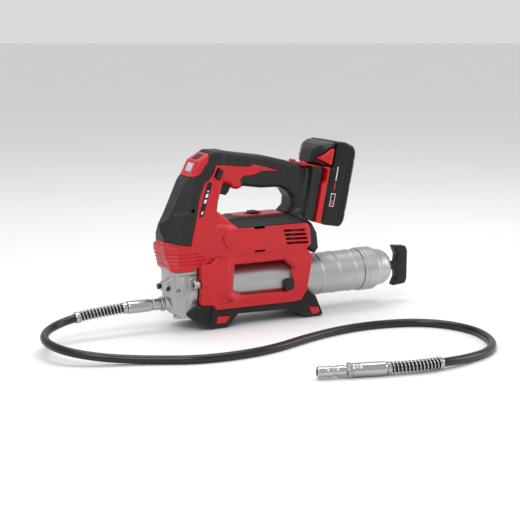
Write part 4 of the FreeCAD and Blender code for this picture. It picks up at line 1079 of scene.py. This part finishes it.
def make_lock_button():
    def shape(x, y, z):
        solid = block(x, y, z, (-3.4, -24.4, -5.9), (3.4, 24.4, 5.9), 1.4)
        ends = np.clip((np.abs(y) - 22.5) / 1.0, 0, 1)
        return solid + 0.5 * ends * sum(stripe(z, level, 0.9) for level in (-3, 0, 3))
    place = leaning_place(LOCK_PLACE, LOCK_LEAN, -1.5)
    carved("lock_button", shape, (-4, -25, -6.5), (4, 25, 6.5), 0.5, "lock_off", NYLON,
           ["lock_off_button"], place)


def make_selector():
    def shape(x, y, z):
        stem = block(x, y, z, (-61, -3.3, 138), (-47, 3.3, 145.5), 0.6)
        crown = slab(z, 144.9, 147.3 - 0.02 * (x + 54) ** 2 + 0.6)
        top = both(both(slab(x, -60.5, -47.5), crown, 0.8), np.abs(y) - 8.0, 1.5)
        grip = sum(stripe(x, level, 0.9) for level in (-57, -54, -51))
        return either(stem, top + 0.5 * grip * (z > 146), 0.5)
    carved("speed_slider", shape, (-62, -9, 137), (-46, 9, 149), 0.5, "selector", NYLON, ["selector_knob"])


def make_lamp():
    """The light's switch and its lens, each let into its own facet of the bezel."""
    def button(x, y, z):
        solid = block(x, y, z, (-4.9, -6.4, -4.9), (4.9, 6.4, 0.8), 1.0)
        dish = np.sqrt(x ** 2 + y ** 2 + (z - 13) ** 2) - 12.6
        return without(solid, dish, 0.5)
    carved("light_button", button, (-5.5, -6.5, -5.5), (5.5, 6.5, 1.5), 0.45, "light_switch", NYLON,
           ["light_switch"], leaning_place(*SWITCH_PLACE))

    def lens(x, y, z):
        solid = block(x, y, z, (-6.1, -8.3, -2.5), (6.1, 8.3, 0.3), 0.8)
        dome = np.sqrt(x ** 2 + y ** 2 + (z + 2.0) ** 2) - 3.4
        return either(solid, dome, 0.8)
    carved("lamp_lens", lens, (-6.5, -8.5, -3), (6.5, 8.5, 1.8), 0.4, "tool", LENS, ["light_lens"],
           leaning_place(*LENS_PLACE))


make_trigger()
make_lock_button()
make_selector()
make_lamp()


# ---- battery pack
CASE_SIDE = [
    (-17.7, -54), (-10, -56), (12, -55.5), (18.5, -50), (21, -42), (21, 40), (18.5, 48.5), (12, 54.5),
    (0, 57.6), (-14.3, 56.6), (-14.3, 21.7), (-17.7, 21.3),
]
CASE_PLAN = [(-17.7, -5), (-17.7, 36.3), (-14.3, 37.9), (14, 37.9), (20.8, 33), (20.8, -5)]
CAP_PLAN = [(-40, -5), (-40, 14), (-31, 30), (-20, 36), (-14.4, 36), (-14.4, -5)]
CAP_SIDE = [(-40, 21.7), (-40, 33), (-37.5, 41), (-31, 48.5), (-23, 53.5), (-14.4, 56.3), (-14.4, 21.7)]
BUTTON_SIDE = [(-20, 47.5), (-16, 46), (-16, 25), (-18, 24.3), (-34, 29.5), (-33.5, 32)]
LINER_SIDE = [
    (-25.9, -54), (-25.9, -2), (-21, 3), (-21, 18), (-25.9, 19.6), (-25.9, 21.4), (-17.9, 21.4),
    (-17.9, -54),
]


def case_field(x, y, z):
    """The pack's case, with stepped notches down its rear edges and a line along each side."""
    across = np.abs(y)
    solid = both(polygon(CASE_SIDE, x, z), polygon(CASE_PLAN, x, across), 5.0)
    solid = either(solid, both(bar(x, z, -17.6, 4, -53, 21, 0.5), across - 36.3, 1.0))
    for low in (-37, -1, 33):
        notch = both(both(slab(z, low, low + 5.0), 17.0 - x, 0.5), 12 - across, 0.5)
        solid = without(solid, notch, 0.6)
    channel = both(bar(x, z, 4.0, 6.4, -46, 40, 0.6), 36.9 - across)
    channel = np.minimum(channel, both(bar(x, z, 10.0, 12.0, -48, 46, 0.6), 36.7 - across))
    solid = without(solid, channel, 0.4)
    rear = both(both(across - 20, slab(z, -42, 42), 3.0), 19.9 - x, 0.4)
    return without(solid, rear, 0.6)


def make_pack():
    carved("pack_shell", case_field, (-18, -38.5, -56.5), (21.5, 38.5, 58), STEP, "pack", PACK,
           ["pack_case"], PACK_PLACE, mirrored=True)

    def liner(x, y, z):
        across = np.abs(y)
        solid = both(polygon(LINER_SIDE, x, z), across - 36.6, 0.8)
        return without(solid, both(both(across - 20, z - 18), x + 20.2, 0.5), 0.5)
    carved("pack_red_liner", liner, (-27, -37.5, -55), (-17, 37.5, 22.5), FINE, "pack", RED, ["pack_liner"],
           PACK_PLACE, mirrored=True)

    def cap(x, y, z):
        across = np.abs(y)
        plan = polygon(CAP_PLAN, x, across)
        solid = both(polygon(CAP_SIDE, x, z), plan, 5.0)
        room = both(polygon(BUTTON_SIDE, x, z) - 1.1, 6.7 - across, 0.5)
        return without(solid, both(room, -plan - 9.4, 0.3), 0.8)
    carved("pack_top", cap, (-40.5, -37, 21), (-14, 37, 57), FINE, "pack", PACK, ["pack_cap"], PACK_PLACE,
           mirrored=True)
    for side, label in ((-1, "left"), (1, "right")):
        make_release(side, label)
        make_pack_marks(side, label)


def make_release(side, label):
    """A red triangular release button, pillowed, in one corner of the pack's cap."""
    def button(x, y, z):
        across = side * y
        plan = polygon(CAP_PLAN, x, across)
        outline = polygon(BUTTON_SIDE, x, z)
        solid = both(outline + 0.2, plan - 0.9, 2.0)
        solid = both(solid, -(plan + 5.0), 0.3)
        return both(solid, 10.2 - across, 0.3)
    near, far = span(side, 8, 38)
    body = f"release_{label}"
    carved(body + "_pad", button, (-40, near, 23), (-14, far, 49), 0.6, body, RED, [body], PACK_PLACE)


MARK_LEVEL = 38.0
MARK_DEPTH = 0.12


def flat_mark(name, outline, side, material, hole=None):
    """A thin printed mark on the pack's side, from an outline of (x, z) points."""
    def shape(x, y, z):
        field = both(polygon(outline, x, z), slab(side * y, MARK_LEVEL - MARK_DEPTH, MARK_LEVEL))
        if hole:
            field = without(field, polygon(hole, x, z))
        return field

    def row(values):
        return np.arange(min(values) - 0.4, max(values) + 0.6, 0.3)
    near, far = span(side, MARK_LEVEL - MARK_DEPTH, MARK_LEVEL)
    xs, zs = zip(*outline)
    axes = [row(xs), np.array([near - 0.05, (near + far) / 2, far + 0.05]), row(zs)]
    field = sampled(shape, axes, float)
    close_off(field, 0.3)
    points, faces = surface_net(field, [0, 0, 0], 1.0)
    spread = [np.interp(points[:, i], np.arange(len(axes[i])), axes[i]) for i in range(3)]
    mesh_piece(name, np.stack(spread, 1), faces, "pack", material, place=PACK_PLACE)


def make_pack_marks(side, label):
    """A plain outlined badge and a line on the pack's side."""
    marks = (
        ("frame", WHITE_INK, rectangle(-11, -30, -4, -12), rectangle(-10, -29, -5, -13)),
        ("block", RED_INK, rectangle(-9.2, -27.6, -5.8, -21), None),
        ("line", RED_INK, rectangle(-8.2, -8, -6.6, 3), None),
        ("tail", WHITE_INK, rectangle(-8.2, 5, -6.6, 24), None),
    )
    for part, ink, outline, hole in marks:
        flat_mark(f"badge_{part}_{label}", outline, side, ink, hole)


make_pack()


# ---- small trim
def make_labels():
    """A black strip with generic pale marks up each side of the column, and the red edge over the mount."""
    strip = [(-145.4, 149), (-139.0, 149), (-123.8, 190), (-125.4, 193), (-130.6, 192)]
    for side, label in ((-1, "left"), (1, "right")):
        def surface(x, y, z):
            return side * y - column_half(z)

        def strip_shape(x, y, z):
            return both(polygon(strip, x, z), slab(surface(x, y, z), -1.5, 0.35), 0.3)

        def marks(x, y, z):
            centre = -142 + (z - 149) * 0.366
            rows = np.full(np.broadcast(x, z).shape, 9.0)
            for low, high, half in ((152, 156, 1.2), (166, 171, 1.7), (173, 178, 1.7), (180, 182, 1.2)):
                rows = np.minimum(rows, both(slab(z, low, high), np.abs(x - centre) - half, 0.5))
            return both(rows, slab(surface(x, y, z), 0.0, 0.6))
        near, far = span(side, 20, 28)
        low, high = (-146, near, 147), (-123, far, 194)
        carved(f"label_strip_{label}", strip_shape, low, high, 0.5, "tool", NYLON)
        carved(f"label_marks_{label}", marks, low, high, 0.45, "tool", WHITE_INK)

    def edge(x, y, z):
        u, w = leaned(x, z)
        across = np.abs(y)
        rim = both(bar(u, w, -49, -26.8, 19.0, 21.0, 0.6), across - 30 - 0.2 * (u + 27), 1.2)
        tab = both(bar(u, w, -52, -45, 17, 23.5, 1.5), slab(across, 11, 20), 1.5)
        return either(rim, tab, 1.0)
    carved("mount_red_edge", edge, (0, -37, 196), (46, 37, 218), 0.7, "tool", RED, mirrored=True)


def coil_spring(name, radius, wire, turns, start, end, axis, body, node):
    """A coil with closed ends, standing along one axis between two places."""
    count = int(turns * 30)
    t = np.linspace(0, 1, count)
    height = end - start
    run = np.interp(t, (0, 0.1, 0.9, 1), (wire, 3 * wire, height - 3 * wire, height - wire))
    a = 2 * np.pi * turns * t
    path = np.zeros((count, 3))
    centre, axis_index = axis
    others = [i for i in range(3) if i != axis_index]
    path[:, axis_index] = start + run
    path[:, others[0]] = centre[0] + radius * np.cos(a)
    path[:, others[1]] = centre[1] + radius * np.sin(a)
    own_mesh(swept(name, path, wire, 8, body, STEEL, [node]))


make_labels()
coil_spring("follower_coil", 19.0, 1.0, 14, -99.9, 127.9, ((0, AXIS_Z), 0), "barrel", "follower_spring")
coil_spring("trigger_coil", 3.6, 0.5, 5, 190.55, 201.85, ((-100, 0), 2), "tool", "trigger_spring")


# ---- closing lines
def make_floor():
    """A wide, flat, pale floor."""
    size = 40.0
    mesh = bpy.data.meshes.new("floor")
    mesh.from_pydata([(u, v, 0) for u, v in rectangle(-size, -size, size, size)], [], [(0, 1, 2, 3)])
    mesh.materials.append(shader("floor_paint", "floor", (0.86, 0.86, 0.86), 0.7, variation=0.01, grain=60))
    linked("floor", mesh)


def make_light(name, place, aim_at, size, power):
    data = bpy.data.lights.new(name, "AREA")
    data.shape = "RECTANGLE"
    data.size, data.size_y = size
    data.energy = power
    aimed(linked(name, data), place, Vector(aim_at) - Vector(place))


def make_lighting():
    world = bpy.data.worlds.new("studio")
    bpy.context.scene.world = world
    world.use_nodes = True
    world.node_tree.nodes["Background"].inputs["Color"].default_value = (1, 1, 1, 1)
    world.node_tree.nodes["Background"].inputs["Strength"].default_value = 0.70
    make_light("key", (-0.9, -1.3, 1.5), (0, -0.05, 0.1), (0.9, 0.9), 13)
    make_light("top", (0.1, 0.2, 1.6), (0, 0, 0.1), (1.2, 0.8), 11)
    make_light("side", (1.5, -0.7, 0.7), (0.05, 0, 0.1), (0.6, 0.9), 5)
    bpy.context.scene.view_settings.view_transform = "Standard"


make_floor()
make_lighting()
